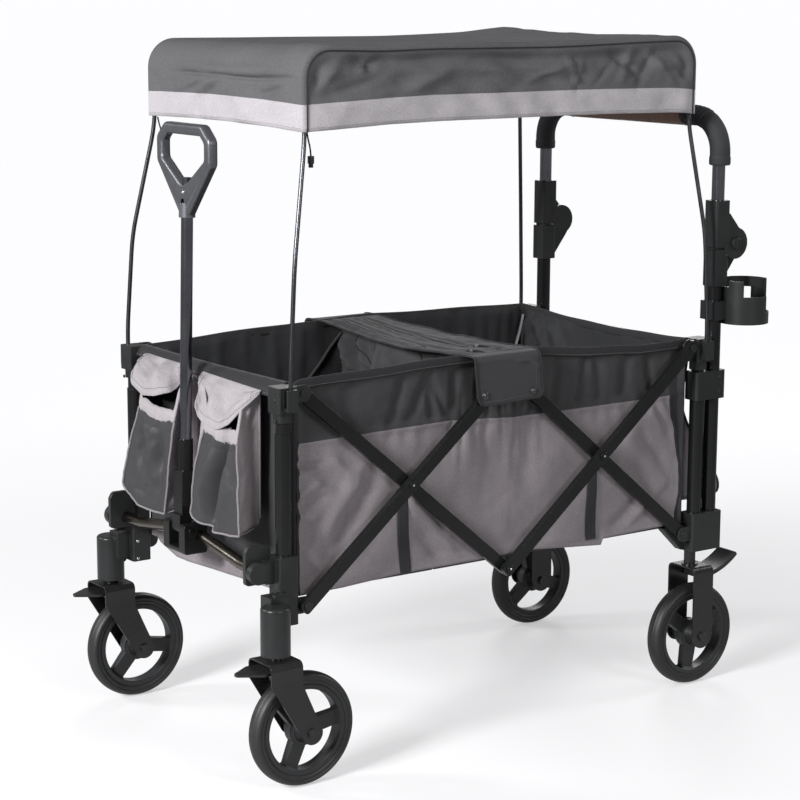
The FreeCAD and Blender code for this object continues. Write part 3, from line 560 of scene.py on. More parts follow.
def metal(name, colour, rough=0.22, brushed=0.5):
    n = Nodes(name)
    stretch = n.add("ShaderNodeMapping", inputs={"Scale": (1.0, 1.0, 0.03)})
    n.link(n.coord.outputs["Object"], stretch.inputs["Vector"])
    lines = n.noise(1400.0, 2.0, 0.6, stretch.outputs[0])
    smear = n.noise(24.0, 4.0, 0.6)
    n.set(
        Base_Color=n.ramp(smear, [(0.3, scale_rgb(colour, 0.85)), (0.7, scale_rgb(colour, 1.12))]),
        Metallic=1.0,
        Roughness=n.scaled(n.math("ADD", n.math("MULTIPLY", lines, brushed), n.math("MULTIPLY", smear, 1 - brushed)), max(0.03, rough - 0.1), rough + 0.12),
        Normal=n.bump(lines, 0.25, 0.00003),
    )
    return n.mat


def thread_mat(name, colour):
    n = Nodes(name)
    w = n.noise(900.0, 2.0)
    n.set(Base_Color=n.ramp(w, [(0.3, scale_rgb(colour, 0.7)), (0.7, scale_rgb(colour, 1.2))]), Roughness=n.scaled(w, 0.7, 0.95), Sheen_Weight=0.3, Normal=n.bump(w, 0.6, 0.0002))
    return n.mat


MAT = {
    "charcoal": fabric("charcoal_cloth", (0.047, 0.047, 0.0495), streak=0.2, pucker=0.5),
    "canopy": fabric("canopy_cloth", (0.112, 0.1115, 0.1175), variation=0.10, sheen=0.0, rough=0.96, spec=0.04, pucker=0.35, bump_mm=0.05),
    "band": fabric("pale_band_cloth", (0.41, 0.39, 0.41), thread=0.6, variation=0.05, sheen=0.05, pucker=0.5),
    # the pocket sides and bottoms take the grey cloth painted lighter, as painted light against the shade the post
    # casts on them
    "gusset": fabric("pocket_side_grey_painted_lighter", (0.315, 0.288, 0.302), streak=0.25, pucker=0.6, variation=0.10, spec=0.3),
    "grey": fabric("grey_cloth", (0.222, 0.201, 0.212), streak=0.25, pucker=0.6, variation=0.09),
    "pale": fabric("pale_grey_cloth", (0.33, 0.308, 0.323), streak=0.2, variation=0.07),
    "pocket": fabric("smooth_charcoal_cloth", (0.034, 0.0337, 0.0358), thread=0.4, rough=0.50, sheen=0.0, bump_mm=0.04, spec=0.5),
    "ribbed": fabric("ribbed_elastic", (0.045, 0.045, 0.048), thread=0.5, ribs=2.2, bump_mm=0.2),
    "webbing": fabric("black_webbing", (0.030, 0.030, 0.032), thread=1.1, ribs=1.6, bump_mm=0.22, rough=0.7, sheen=0.12),
    "binding": fabric("dark_binding", (0.026, 0.0262, 0.028), thread=0.5, bump_mm=0.08, rough=0.75),
    "pale_binding": fabric("grey_binding", (0.21, 0.195, 0.21), thread=0.5, bump_mm=0.08),
    "lining": fabric("lining_cloth", (0.025, 0.0255, 0.0275), thread=0.6, rough=0.7, streak=0.2),
    "board": coated("black_board", (0.018, 0.018, 0.019), rough=0.6, grain=500.0, grain_mm=0.08),
    "frame": coated("black_powder_coat", (0.0052, 0.0055, 0.0056), rough=0.25, spec=0.30, coat=0.04, dust=0.03, edge=0.8),
    "fork": coated("satin_black_steel", (0.0082, 0.0084, 0.0086), rough=0.26, spec=0.40, coat=0.10, dust=0.05, edge=1.0),
    "plastic": coated("black_plastic", (0.0125, 0.0131, 0.0134), rough=0.33, grain=1100.0, grain_mm=0.05, spec=0.36, dust=0.05, edge=1.0),
    "rim": coated("black_rim_plastic", (0.0105, 0.011, 0.012), rough=0.42, grain=1000.0, grain_mm=0.04, dust=0.05),
    "grip_plastic": coated("grey_grip_plastic", (0.090, 0.092, 0.102), rough=0.36, grain=1300.0, grain_mm=0.02, spec=0.8, coat=0.12, metallic=0.55, dust=0.0),
    "foam": coated("black_foam", (0.026, 0.027, 0.029), rough=0.72, grain=650.0, grain_mm=0.16, spec=0.3, edge=0.3),
    "tyre": rubber("tyre_rubber", (0.0145, 0.0146, 0.0145), 0.46),
    "leather": leather("brown_leather", (0.235, 0.125, 0.080)),
    "steel": metal("dark_handle_steel", (0.20, 0.202, 0.222), 0.15),
    "bow": metal("bow_rod_steel", (0.085, 0.086, 0.094), 0.30),
    "bare_rail": metal("worn_rail_steel", (0.16, 0.145, 0.125), 0.22),
    "rivet": metal("bright_rivet_steel", (0.72, 0.72, 0.74), 0.30),
    "snap": metal("snap_metal", (0.10, 0.10, 0.105), 0.30),
    "rivet": metal("rivet_metal", (0.55, 0.55, 0.55), 0.30),
    "cord": fabric("black_cord", (0.022, 0.022, 0.024), thread=0.5, bump_mm=0.12, uv=False),
    "stitch": thread_mat("grey_stitching", (0.16, 0.155, 0.16)),
    "dark_stitch": thread_mat("black_stitching", (0.05, 0.05, 0.052)),
    "tan_stitch": thread_mat("tan_stitching", (0.34, 0.22, 0.15)),
}

SLOT_MAT = {
    "frame_black": "frame",
    "fork_black": "fork",
    "plastic_black": "plastic",
    "grip_plastic": "grip_plastic",
    "tyre_black": "tyre",
    "rim_black": "rim",
    "handle_steel": "steel",
    "foam_black": "foam",
    "leather_brown": "leather",
    "bow_rod": "bow",
    "fabric_charcoal": "charcoal",
    "fabric_grey": "grey",
    "webbing": "webbing",
    "floor_board": "board",
    "cord_black": "cord",
    "snap_metal": "snap",
}
for row in frame["record"]["subparts"]:
    obj = NODES[row["node"]]
    if not obj.data.materials:
        obj.data.materials.append(None)
    for s in obj.material_slots:
        s.link = "OBJECT"
        s.material = MAT[SLOT_MAT[row["material_slot"]]]


for s in NODES["front_lower_rail"].material_slots:
    s.material = MAT["bare_rail"]


# ---------------------------------------------------------------- camera, light and floor
AZ, EL, ROLL = math.radians(-35.0758), math.radians(10.6523), math.radians(0.223)
back = Vector((math.sin(AZ) * math.cos(EL), -math.cos(AZ) * math.cos(EL), math.sin(EL)))
right = (-back).cross(Vector((0, 0, 1))).normalized()
up = right.cross(-back)
r2 = right * math.cos(ROLL) + up * math.sin(ROLL)
u2 = -right * math.sin(ROLL) + up * math.cos(ROLL)
cam_data = bpy.data.cameras.new("camera")
cam = bpy.data.objects.new("camera", cam_data)
SCENE.collection.objects.link(cam)
cam.matrix_world = Matrix(((r2.x, u2.x, back.x, -2.1385), (r2.y, u2.y, back.y, -2.9717), (r2.z, u2.z, back.z, 1.2042), (0, 0, 0, 1)))
cam_data.sensor_width = 36.0
cam_data.lens = 2185.93 / 800.0 * 36.0
cam_data.shift_x = -(400.93 - 400.0) / 800.0
cam_data.shift_y = (399.73 - 400.0) / 800.0
cam_data.clip_start, cam_data.clip_end = 0.05, 1500.0
SCENE.camera = cam
SCENE.view_settings.view_transform = "Standard"
SCENE.view_settings.look = "None"


def area_light(name, location, target, size, size_y, power, colour=(1, 1, 1)):
    data = bpy.data.lights.new(name, "AREA")
    data.shape = "RECTANGLE"
    data.size, data.size_y, data.energy, data.color = size, size_y, power, colour
    o = bpy.data.objects.new(name, data)
    o.location = location
    o.rotation_mode = "QUATERNION"
    o.rotation_quaternion = (Vector(target) - Vector(location)).to_track_quat("-Z", "Y")
    SCENE.collection.objects.link(o)
    return o


area_light("key_left", (-4.1, -1.25, 2.25), (0, 0, 0.6), 1.1, 1.1, 262.0)
area_light("key_far", (-3.3, 2.4, 2.3), (0, 0, 0.6), 0.9, 0.9, 66.0)
area_light("fill_near", (0.2, -4.7, 2.4), (0, 0, 0.5), 1.6, 1.4, 76.0)
area_light("top_soft", (0.5, 0.2, 4.2), (0, 0, 0.5), 2.4, 1.2, 5.0)
area_light("rear_fill", (3.0, 3.6, 2.5), (0, 0, 0.5), 1.6, 1.6, 45.0)
area_light("rear_right", (3.6, -0.6, 2.2), (0, 0, 0.6), 0.7, 2.4, 34.0)

world = bpy.data.worlds.new("studio")
world.use_nodes = True
wt = world.node_tree
ambient = wt.nodes["Background"]
ambient.inputs[0].default_value = (0.97, 0.975, 1.0, 1.0)
ambient.inputs[1].default_value = 0.16
seen = wt.nodes.new("ShaderNodeBackground")
seen.inputs[0].default_value = (0.975, 0.975, 0.99, 1.0)
seen.inputs[1].default_value = 1.0
ray = wt.nodes.new("ShaderNodeLightPath")
either = wt.nodes.new("ShaderNodeMixShader")
wt.links.new(ray.outputs["Is Camera Ray"], either.inputs[0])
wt.links.new(ambient.outputs[0], either.inputs[1])
wt.links.new(seen.outputs[0], either.inputs[2])
wt.links.new(either.outputs[0], wt.nodes["World Output"].inputs["Surface"])
SCENE.world = world

floor_nodes = Nodes("pale_floor")
floor_nodes.set(
    Base_Color=floor_nodes.ramp(floor_nodes.noise(0.8, 2.0), [(0.3, (0.70, 0.70, 0.71)), (0.7, (0.74, 0.74, 0.745))]),
    Roughness=0.65,
    Specular_IOR_Level=0.15,
    Emission_Color=(0.985, 0.985, 1.0),
)
floor_ray = floor_nodes.add("ShaderNodeLightPath").outputs["Is Camera Ray"]
floor_xy = floor_nodes.add("ShaderNodeVectorMath", operation="LENGTH")
floor_nodes.link(floor_nodes.coord.outputs["Object"], floor_xy.inputs[0])
far_off = floor_nodes.add("ShaderNodeMapRange", interpolation_type="SMOOTHSTEP", inputs={"From Min": 0.7, "From Max": 2.6})
floor_nodes.link(floor_xy.outputs["Value"], far_off.inputs["Value"])
glow = floor_nodes.math("ADD", 0.44, floor_nodes.math("MULTIPLY", far_off.outputs["Result"], 0.545))
floor_nodes.set(Emission_Strength=floor_nodes.math("MULTIPLY", glow, floor_nodes.scaled(floor_ray, 0.28, 1.0)))
floor_nodes.set(Base_Color=floor_nodes.mix(far_off.outputs["Result"], floor_nodes.ramp(floor_nodes.noise(0.8, 2.0), [(0.3, (0.50, 0.50, 0.505)), (0.7, (0.53, 0.53, 0.535))]), (0.0, 0.0, 0.0)))
floor = new_mesh("floor", [(-400000, -400000, 0), (400000, -400000, 0), (400000, 400000, 0), (-400000, 400000, 0)], [[0, 1, 2, 3]], [floor_nodes.mat], smooth_shade=False)
floor.location.z = -0.0002


# ---------------------------------------------------------------- the canopy's drawcords
def nurbs_cord(name, points, diameter, mat):
    """A round cord on one smooth NURBS line through its route's control points, in metres."""
    curve = bpy.data.curves.new(name, "CURVE")
    curve.dimensions = "3D"
    spline = curve.splines.new("NURBS")
    spline.points.add(len(points) - 1)
    for p, co in zip(spline.points, points):
        p.co = (*co, 1.0)
    spline.order_u = 3
    spline.use_endpoint_u = True
    spline.resolution_u = 12
    curve.bevel_depth = diameter / 2
    curve.bevel_resolution = 5
    curve.use_fill_caps = True
    curve.materials.append(mat)
    o = bpy.data.objects.new(name, curve)
    SCENE.collection.objects.link(o)
    return o


for side, sign in (("near", -1), ("far", 1)):
    route = [(-0.3840, sign * 0.2280, 0.9950), (-0.3815, sign * 0.2276, 0.9830), (-0.3775, sign * 0.2272, 0.9710), (-0.3765, sign * 0.2270, 0.9590)]
    cord = nurbs_cord(f"drawcord_{side}", route, 0.0025, MAT["cord"])
    body(cord, "canopy", [f"canopy_cord_{side}"])

# ---------------------------------------------------------------- canopy: one sewn sheet over two end rolls, with side panels
CX0, CX1, CY, CROLL, SEAM = -385.0, 397.0, 237.0, 48.0, 9.0
BAND = 40.0


def hem_side(x):
    return np.interp(x, [-385, -345, -305, -230, -152, 0, 185, 335, 370, 397], [995, 997, 999, 1002.5, 1004.5, 1005, 1006, 1004.5, 1002.5, 1000])


def hem_end(y, front):
    a, b = (997.0, 995.0) if front else (1001.0, 1000.0)
    t = np.clip((np.asarray(y, float) + CY) / (2 * CY), 0, 1)
    return b + (a - b) * t + 4.5 * np.sin(math.pi * t) ** 0.8


def crown(x, y):
    """Height of the top: the rear bow stands higher than the front, and its far corner is pulled up."""
    x, y = np.broadcast_arrays(np.asarray(x, float), np.asarray(y, float))
    z = 1123.0 + 7.0 * smooth(60, 370, x)
    z = z + 7.5 * smooth(230, 380, x) * smooth(90, 236, y)
    z = z - 6.0 * bump(x, -20, 230) * (1 - (y / CY) ** 2)
    z = z - 2.0 * bump(x, -240, 60) * smooth(-60, -230, y)
    ripple = fbm(x / 150.0, y / 60.0, 0.0, 11) * 2.2 + fbm(x / 60.0, y / 45.0, 0.0, 12) * 1.1
    ripple = ripple + 1.6 * np.sin((x + 0.55 * y) / 46.0) * bump(x, -230, 130)
    return z + ripple * (1 - np.abs(y / CY) ** 6)


def strip_point(kind, t, y):
    """Outer face of the end-to-end strip. kind: front, front roll, top, rear roll, rear. t runs 0 to 1 in it."""
    if kind in ("front", "rear"):
        front = kind == "front"
        hem = hem_end(y, front)
        nb = 0.3
        z0, z1 = hem, hem + BAND
        ztop = (crown(CX0 + CROLL, y) if front else crown(CX1 - CROLL, y)) - CROLL
        z = z0 + BAND * (t / nb) if t <= nb else z1 + (ztop - z1) * ((t - nb) / (1 - nb))
        return (CX0 if front else CX1) + 0 * y, z, (-1.0 if front else 1.0) + 0 * y, 0.0 * y
    if kind in ("front_roll", "rear_roll"):
        a = t * math.pi / 2
        if kind == "front_roll":
            c = crown(CX0 + CROLL, y) - CROLL
            return CX0 + CROLL - CROLL * math.cos(a) + 0 * y, c + CROLL * math.sin(a), -math.cos(a) + 0 * y, math.sin(a) + 0 * y
        c = crown(CX1 - CROLL, y) - CROLL
        return CX1 - CROLL + CROLL * math.sin(a) + 0 * y, c + CROLL * math.cos(a), math.sin(a) + 0 * y, math.cos(a) + 0 * y
    x = CX0 + CROLL + (CX1 - CX0 - 2 * CROLL) * t + 0 * y
    return x, crown(x, y), 0.0 * y, 1.0 + 0 * y


NB, NV, NR, NT = 6, 20, 12, 96
STRIP = [("front", k / NV) for k in range(NV)] + [("front_roll", k / NR) for k in range(NR)] + [("top", k / NT) for k in range(NT)]
STRIP += [("rear_roll", k / NR) for k in range(NR)] + [("rear", 1 - k / NV) for k in range(NV + 1)]
main = np.linspace(-1, 1, 57) * (CY - 6)
edge_y = np.array([CY - 3.2, CY - 1.2, CY, CY + 0.3])
edge_d = np.array([0.7, 2.3, 5.2, SEAM])
yy = np.concatenate([-edge_y[::-1], main, edge_y])
dd = np.concatenate([edge_d[::-1], np.zeros(len(main)), edge_d])
strip = np.zeros((len(STRIP), len(yy), 3))
for i, (kind, t) in enumerate(STRIP):
    x, z, nx, nz = strip_point(kind, t, yy)
    inner = 1 - np.clip(np.abs(yy) / (CY - 3), 0, 1) ** 8
    out = np.zeros(len(yy))
    if kind in ("front", "front_roll") and (kind == "front" or t < 0.7):
        fade = 1.0 if kind == "front" else 1 - smooth(0.2, 0.7, t)
        v = z
        out += -4.5 * bump(v, 1071 - 0.012 * (yy - 0) + 2.5 * np.sin(yy / 60.0), 3.2) * smooth(150, 90, yy) * smooth(-236, -215, yy)
        out += 3.2 * bump(v, 1079, 7) * smooth(170, 80, yy)
        out += crease(yy, v, (150, 1040), (60, 1064), 5, 2.8) + crease(yy, v, (75, 1038), (25, 1062), 4.5, 2.6) - crease(yy, v, (50, 1036), (0, 1060), 5, 2.4)
        out += crease(yy, v, (-120, 1046), (-178, 1056), 6, -3.6) + crease(yy, v, (-150, 1040), (-205, 1062), 5, 2.2) + crease(yy, v, (-60, 1084), (20, 1092), 5, -2.6)
        out += crease(yy, v, (-20, 1088), (-90, 1082), 5, 2.0) + crease(yy, v, (190, 1040), (215, 1070), 5, -2.0)
        out += fbm(yy / 70.0, v / 38.0, 0, 21) * 2.2 + fbm(yy / 24.0, v / 20.0, 0, 22) * 0.7
        out += 1.6 * bump(v, 1015, 16) * np.sin(yy / 21.0 + 1.3 * np.sin(yy / 55.0))
        out *= 1.7 * fade
    elif kind in ("rear", "rear_roll"):
        fade = 1.0 if kind == "rear" else smooth(0.3, 0.9, t)
        out += (fbm(yy / 80.0, z / 40.0, 0, 31) * 3.0 + fbm(yy / 26.0, z / 22.0, 0, 32) * 0.8) * fade
    out = out * inner
    strip[i, :, 0] = x + nx * (out - dd)
    strip[i, :, 2] = z + nz * (out - dd)
    strip[i, :, 1] = yy


def side_panel(seam, sign):
    """A panel from the seam polyline (rows of the strip, hem corner to hem corner) down to the hem."""
    half = NV + NR // 2
    left, top, right_ = seam[: half + 1], seam[half : len(seam) - half], seam[::-1][: half + 1]
    nt, nl = len(top), half + 1
    pts = np.zeros((nt, nl, 3))
    u = np.linspace(0, 1, nt)
    xl, xr = left[0][0], right_[0][0]
    bx = xl + (xr - xl) * u
    hemz = hem_side(bx)
    hemz[0], hemz[-1] = left[0][2], right_[0][2]
    low = np.stack([bx, hemz + BAND], 1)
    low[0], low[-1] = left[NB][[0, 2]], right_[NB][[0, 2]]
    for k in range(NB + 1):
        f = k / NB
        for i in range(nt):
            pts[i, k] = (bx[i], 0, hemz[i] + (low[i][1] - hemz[i]) * f)
        pts[0, k], pts[-1, k] = left[k] * (1, 0, 1), right_[k] * (1, 0, 1)
    L, R, T = left[NB:][:, [0, 2]], right_[NB:][:, [0, 2]], top[:, [0, 2]]
    m = len(L)
    for k in range(m):
        w = k / (m - 1)
        for i in range(nt):
            s_ = u[i]
            c = (1 - s_) * L[k] + s_ * R[k] + (1 - w) * low[i] + w * T[i]
            c = c - ((1 - s_) * (1 - w) * L[0] + s_ * (1 - w) * R[0] + (1 - s_) * w * L[-1] + s_ * w * R[-1])
            pts[i, NB + k] = (c[0], 0, c[1])
    x, z = pts[:, :, 0], pts[:, :, 2]
    # distance from the sewn edges fades every fold out at the seam
    gap = np.full(x.shape, 1e9)
    for q in np.vstack([left[:, [0, 2]], top[:, [0, 2]], right_[:, [0, 2]]]):
        gap = np.minimum(gap, np.hypot(x - q[0], z - q[1]))
    win = 1 - np.exp(-((gap / 13.0) ** 2))
    d = np.zeros(x.shape)
    d += -5.5 * bump(gap, 16, 11) * smooth(1050, 1075, z)
    d += 3.0 * smooth(1075, 1030, z)
    if sign < 0:
        d += crease(x, z, (-300, 1108), (-262, 1086), 6, -6) + crease(x, z, (-258, 1106), (-285, 1082), 5, 4.5) + crease(x, z, (-240, 1104), (-268, 1098), 5, -5)
        d += crease(x, z, (118, 1098), (140, 1052), 4.5, 4.5) + crease(x, z, (150, 1094), (128, 1050), 4.5, 3.5) - bump(x, 135, 9) * bump(z, 1062, 16) * 4
        d += crease(x, z, (205, 1112), (262, 1066), 7, -5) + crease(x, z, (255, 1110), (228, 1060), 6, 4.5) + crease(x, z, (285, 1106), (320, 1078), 6, 5)
        d += crease(x, z, (300, 1100), (262, 1050), 7, -4) + crease(x, z, (-130, 1096), (20, 1074), 12, 4) + crease(x, z, (-10, 1086), (95, 1058), 10, -3.5)
        d += crease(x, z, (-355, 1060), (-318, 1100), 7, 3.5) + crease(x, z, (-345, 1045), (-250, 1072), 9, -2.5)
        d += crease(x, z, (-275, 1112), (-225, 1100), 4.5, -6) + crease(x, z, (-200, 1100), (-70, 1108), 5, -4) + crease(x, z, (-190, 1056), (-120, 1078), 9, 4) + crease(x, z, (-60, 1104), (60, 1096), 5, -3.5)
        d += crease(x, z, (40, 1062), (110, 1084), 5, 3.0) + crease(x, z, (170, 1052), (216, 1092), 4, -2.8) + crease(x, z, (330, 1096), (372, 1060), 4, -2.5) + crease(x, z, (345, 1050), (318, 1082), 4, 2)
    d += fbm(x / 95.0, z / 42.0, 0, 41 + sign) * 4.2 + fbm(x / 34.0 + z / 60.0, z / 30.0, 0, 45 + sign) * 1.5
    d += 1.5 * bump(z - hemz[:, None], 18, 16) * np.sin(x / 15.0 + 2.0 * np.sin(x / 71.0) + z / 14.0) * smooth(-390, -300, x)
    pts[:, :, 1] = sign * (CY + 0.3 + 1.5 * d * win)
    for k in range(half + 1):
        pts[0, k], pts[-1, k] = left[k], right_[k]
    for i in range(nt):
        pts[i, -1] = top[i]
    return pts


canopy_mats = [MAT["canopy"], MAT["band"]]
n_strip = len(STRIP)
rows_band = lambda i, j: 1 if (i < NB or i >= n_strip - 1 - NB) else 0
piece_strip = grid("canopy", strip, canopy_mats, mat_of=rows_band, thick=0, flip=False)
near_panel = side_panel(strip[:, 0], -1)
far_panel = side_panel(strip[:, -1], 1)
panel_band = lambda i, j: 1 if j < NB else 0
piece_near = grid("canopy_near", near_panel, canopy_mats, mat_of=panel_band, thick=0, flip=False)
piece_far = grid("canopy_far", far_panel, canopy_mats, mat_of=panel_band, thick=0, flip=True)
canopy = joined("canopy_sheet", piece_strip, piece_near, piece_far)


def welded(obj, gap_mm=0.25):
    import bmesh

    bm = bmesh.new()
    bm.from_mesh(obj.data)
    bmesh.ops.remove_doubles(bm, verts=bm.verts, dist=gap_mm / 1000.0)
    bmesh.ops.recalc_face_normals(bm, faces=bm.faces)
    bm.to_mesh(obj.data)
    bm.free()
    return obj


welded(canopy)
centre = sum((Vector(v.co) for v in canopy.data.vertices), Vector()) / len(canopy.data.vertices)
top_face = max(canopy.data.polygons, key=lambda f: f.center.z)
if top_face.normal.z < 0:
    canopy.data.flip_normals()
applied(canopy, solid(0.9, -1.0))
body(canopy, "canopy", ["canopy_fabric"])


def piping(name, pts, r, mat, owner, sides=8, step=5.0, closed=False):
    o = tube(name, pts, r, [mat], sides=sides, step=step, closed=closed)
    return body(o, owner)


for tag, col, sign in (("near", 0, -1), ("far", -1, 1)):
    seam = strip[:, col].copy()
    seam[:, 1] = sign * (CY + 0.9)
    piping(f"canopy_piping_{tag}", seam[::2], 1.25, MAT["binding"], "canopy", step=4.0)


def stitches(name, path, mat, owner, length=3.0, gap=1.4, r=0.32, lift=None):
    """A row of thread stitches along a polyline in mm, each a short six-sided bead. lift is a unit vector off the cloth."""
    path = np.array(path, float)
    seg = np.linalg.norm(np.diff(path, axis=0), axis=1)
    at = np.concatenate([[0], np.cumsum(seg)])
    verts, faces = [], []
    count = int(at[-1] // (length + gap))
    for k in range(count):
        a = k * (length + gap) + gap / 2
        pts = np.array([[np.interp(a + length * f, at, path[:, c]) for c in range(3)] for f in (0.0, 0.2, 0.8, 1.0)])
        t = pts[3] - pts[0]
        t /= np.linalg.norm(t) + 1e-9
        n1 = np.array(lift if lift is not None else (0, 0, 1.0), float)
        n1 = n1 - t * (n1 @ t)
        n1 /= np.linalg.norm(n1) + 1e-9
        n2 = np.cross(t, n1)
        base = len(verts)
        for p, rr in zip(pts, (r * 0.35, r, r, r * 0.35)):
            for w in range(6):
                c, s_ = math.cos(w * math.pi / 3), math.sin(w * math.pi / 3)
                verts.append(p + n1 * rr * c + n2 * rr * s_)
        for q in range(3):
            for w in range(6):
                w2 = (w + 1) % 6
                faces.append([base + q * 6 + w, base + q * 6 + w2, base + (q + 1) * 6 + w2, base + (q + 1) * 6 + w])
        faces.append([base + w for w in range(5, -1, -1)])
        faces.append([base + 18 + w for w in range(6)])
    o = new_mesh(name, verts, faces, [mat])
    return body(o, owner)


def row_at(pts, k, f):
    """The line between rows k and k+1 of a grid, f of the way."""
    return pts[:, k] * (1 - f) + pts[:, k + 1] * f


line = row_at(near_panel, 0, 0.75)
line[:, 1] -= 0.15
stitches("canopy_hem_stitch_near", line, MAT["stitch"], "canopy", lift=(0, -1, 0))
line = row_at(far_panel, 0, 0.75)
line[:, 1] += 0.15
stitches("canopy_hem_stitch_far", line, MAT["stitch"], "canopy", lift=(0, 1, 0))
for tag, a, off in (("front", 0, -0.15), ("rear", n_strip - 1, 0.15)):
    b = a + (1 if a == 0 else -1)
    line = strip[a] * 0.25 + strip[b] * 0.75
    line = line[3:-3]
    line[:, 0] += off
    stitches(f"canopy_hem_stitch_{tag}", line, MAT["stitch"], "canopy", lift=(math.copysign(1, off), 0, 0))


# ---------------------------------------------------------------- tub: one closed wall in sewn bands
TX, TY, TR = 400.0, 229.5, 8.0


def folding(obj, replaces_=(), owner="rear_top"):
    body(obj, owner, replaces_)
    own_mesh(obj)
    return obj


def near_rim(x):
    return np.interp(x, [-400, -383, -250, -122, -69, 83, 180, 285, 370, 400], [620, 624, 628, 632, 634, 632, 622, 615, 616.5, 618]) + 0.8 * np.sin(np.asarray(x) / 31.0)


def far_rim(x):
    return np.interp(x, [-400, -250, -58, 63, 200, 400], [617, 624, 630, 632, 628, 624]) + 0.8 * np.sin(np.asarray(x) / 37.0 + 1)


def near_edge(z):
    """Where the grey panel's rear edge runs."""
    return np.interp(z, [296, 349, 400, 478, 521], [378.6, 388.5, 386.6, 367.5, 363.5])


def near_boundary(x):
    return np.interp(x, [-404, -102, 30, 62, 362], [524.6, 529.7, 521.0, 521.0, 522.0])


def near_hem(x):
    return np.interp(x, [-400, -310, -205, -28, 62, 130, 217, 217.5, 355, 400], [287, 288, 293.5, 293, 294.6, 288, 280.5, 291.5, 294, 294])


def front_hem(y):
    return np.interp(y, [-230, -100, -41, 16, 95, 135, 188, 200, 230], [288, 283.3, 280, 277, 272, 272, 285, 292, 292])


def near_folds(x, z):
    """Outward offset of the near wall, before it is held off the arms."""
    d = -2.6 + 0 * x
    g = crease
    d = d + g(x, z, (-398, 503), (-352, 497), 4.5, 3.6) - g(x, z, (-398, 492), (-345, 487), 4.5, 3.4) + g(x, z, (-398, 481), (-350, 478), 4.5, 3.4)
    d = d + g(x, z, (-398, 440), (-346, 462), 6, 3.6) - g(x, z, (-398, 427), (-338, 436), 6, 4.2) + g(x, z, (-398, 413), (-352, 404), 5, 3.4)
    d = d - g(x, z, (-388, 505), (-300, 440), 10, 3.6) + g(x, z, (-330, 498), (-280, 452), 10, 4.0) - g(x, z, (-372, 396), (-318, 338), 13, 3.6)
    d = d + g(x, z, (-385, 368), (-345, 320), 9, 2.6) - g(x, z, (-238, 470), (-320, 340), 15, 5.0) + g(x, z, (-268, 480), (-345, 372), 12, 3.0)
    for xg, amp, low in ((-98, 2.2, 452), (-78, 3.4, 430), (-51, 3.0, 446), (-38, 1.8, 470), (-27, 3.4, 420), (1, 3.2, 436), (14, 2.0, 474), (30, 3.2, 424), (47, 1.8, 460), (62, 3.4, 432), (84, 2.2, 456)):
        lean = xg + (524 - z) * 0.05 * math.sin(xg)
        d = d - amp * bump(x, lean, 4.2 + (524 - z) * 0.045) * smooth(low - 45, 528, z)
    d = d + 2.4 * np.sin((x + 0.10 * (z - 400)) / 17.5 + 1.4 * np.sin(x / 63.0)) * bump(x, 0, 130) * smooth(330, 470, z) * (1 - smooth(522, 540, z))
    d = d + g(x, z, (-180, 412), (-143, 366), 9, 4.2) + g(x, z, (-146, 372), (-86, 308), 9, 3.8) - g(x, z, (-165, 360), (-118, 304), 9, 4.2) - g(x, z, (-150, 404), (-112, 352), 8, 3.2)
    d = d + g(x, z, (268, 458), (318, 402), 12, 5.0) + g(x, z, (315, 408), (356, 366), 13, 4.4) - g(x, z, (300, 470), (352, 412), 9, 4.6) - g(x, z, (262, 430), (318, 362), 12, 4.2)
    d = d + g(x, z, (345, 513), (377, 454), 5, 3.4) - g(x, z, (332, 508), (364, 452), 5, 3.4) + g(x, z, (320, 500), (348, 470), 5, 2.4)
    d = d - g(x, z, (290, 503), (262, 466), 9, 3.4) - g(x, z, (306, 357), (235, 302), 10, 4.4) + g(x, z, (330, 350), (262, 300), 9, 3.4) - g(x, z, (208, 470), (250, 405), 10, 2.6)
    band = smooth(528, 540, z) * (1 - smooth(604, 620, z))
    for xg, w, amp, lean in ((-206, 10, 3.0, 0.25), (-166, 9, 3.6, 0.45), (-137, 8, 3.8, -0.15), (-117, 7, 3.0, -0.55), (-92, 8, 3.4, 0.0), (112, 8, 3.2, 0.1), (167, 9, 3.6, 0.2), (205, 12, 2.2, -0.1), (262, 14, 2.4, 0.15), (-300, 18, 2.2, 0.1), (320, 9, 2.6, -0.2)):
        d = d - 1.7 * amp * bump(x, xg + lean * (z - 560), w * 0.85) * band
    d = d + fbm(x / 92.0, z / 62.0, 0, 61) * 2.6 + fbm(x / 36.0 + z / 90.0, z / 42.0, 0, 64) * 1.1
    d = d + fbm(x / 15.0, z / 17.0, 0, 67) * 0.28
    return d


def far_folds(x, z):
    d = -3.4 + fbm(x / 88.0, z / 110.0, 0, 71) * 4.6 + fbm(x / 30.0, z / 75.0, 0, 74) * 1.8
    for xg, amp in ((-360, 3), (-318, 3.4), (-262, 4), (-210, 3), (-150, 3.6), (-96, 3), (40, 3), (96, 3.4), (150, 3.2), (215, 4.2), (262, 3.6), (300, 4.4), (332, 3.6), (358, 4.6)):
        d = d - amp * bump(x, xg + (600 - z) * 0.06 * math.sin(xg * 3.1), 9 + (620 - z) * 0.02) * smooth(380, 560, z)
    d = d - crease(x, z, (310, 560), (372, 470), 12, 4.5) + crease(x, z, (330, 520), (385, 430), 10, 3.5)
    return d


def end_folds(y, z, seed):
    d = -2.0 + fbm(y / 82.0, z / 60.0, 0, seed) * 2.6 + fbm(y / 28.0, z / 36.0, 0, seed + 3) * 1.0
    if seed == 81:
        d = d - 3.2 * bump(y, 52 + (z - 290) * 0.15, 4) * (1 - smooth(330, 350, z)) - 3.0 * bump(y, -32 - (z - 290) * 0.2, 4) * (1 - smooth(325, 350, z))
    return d


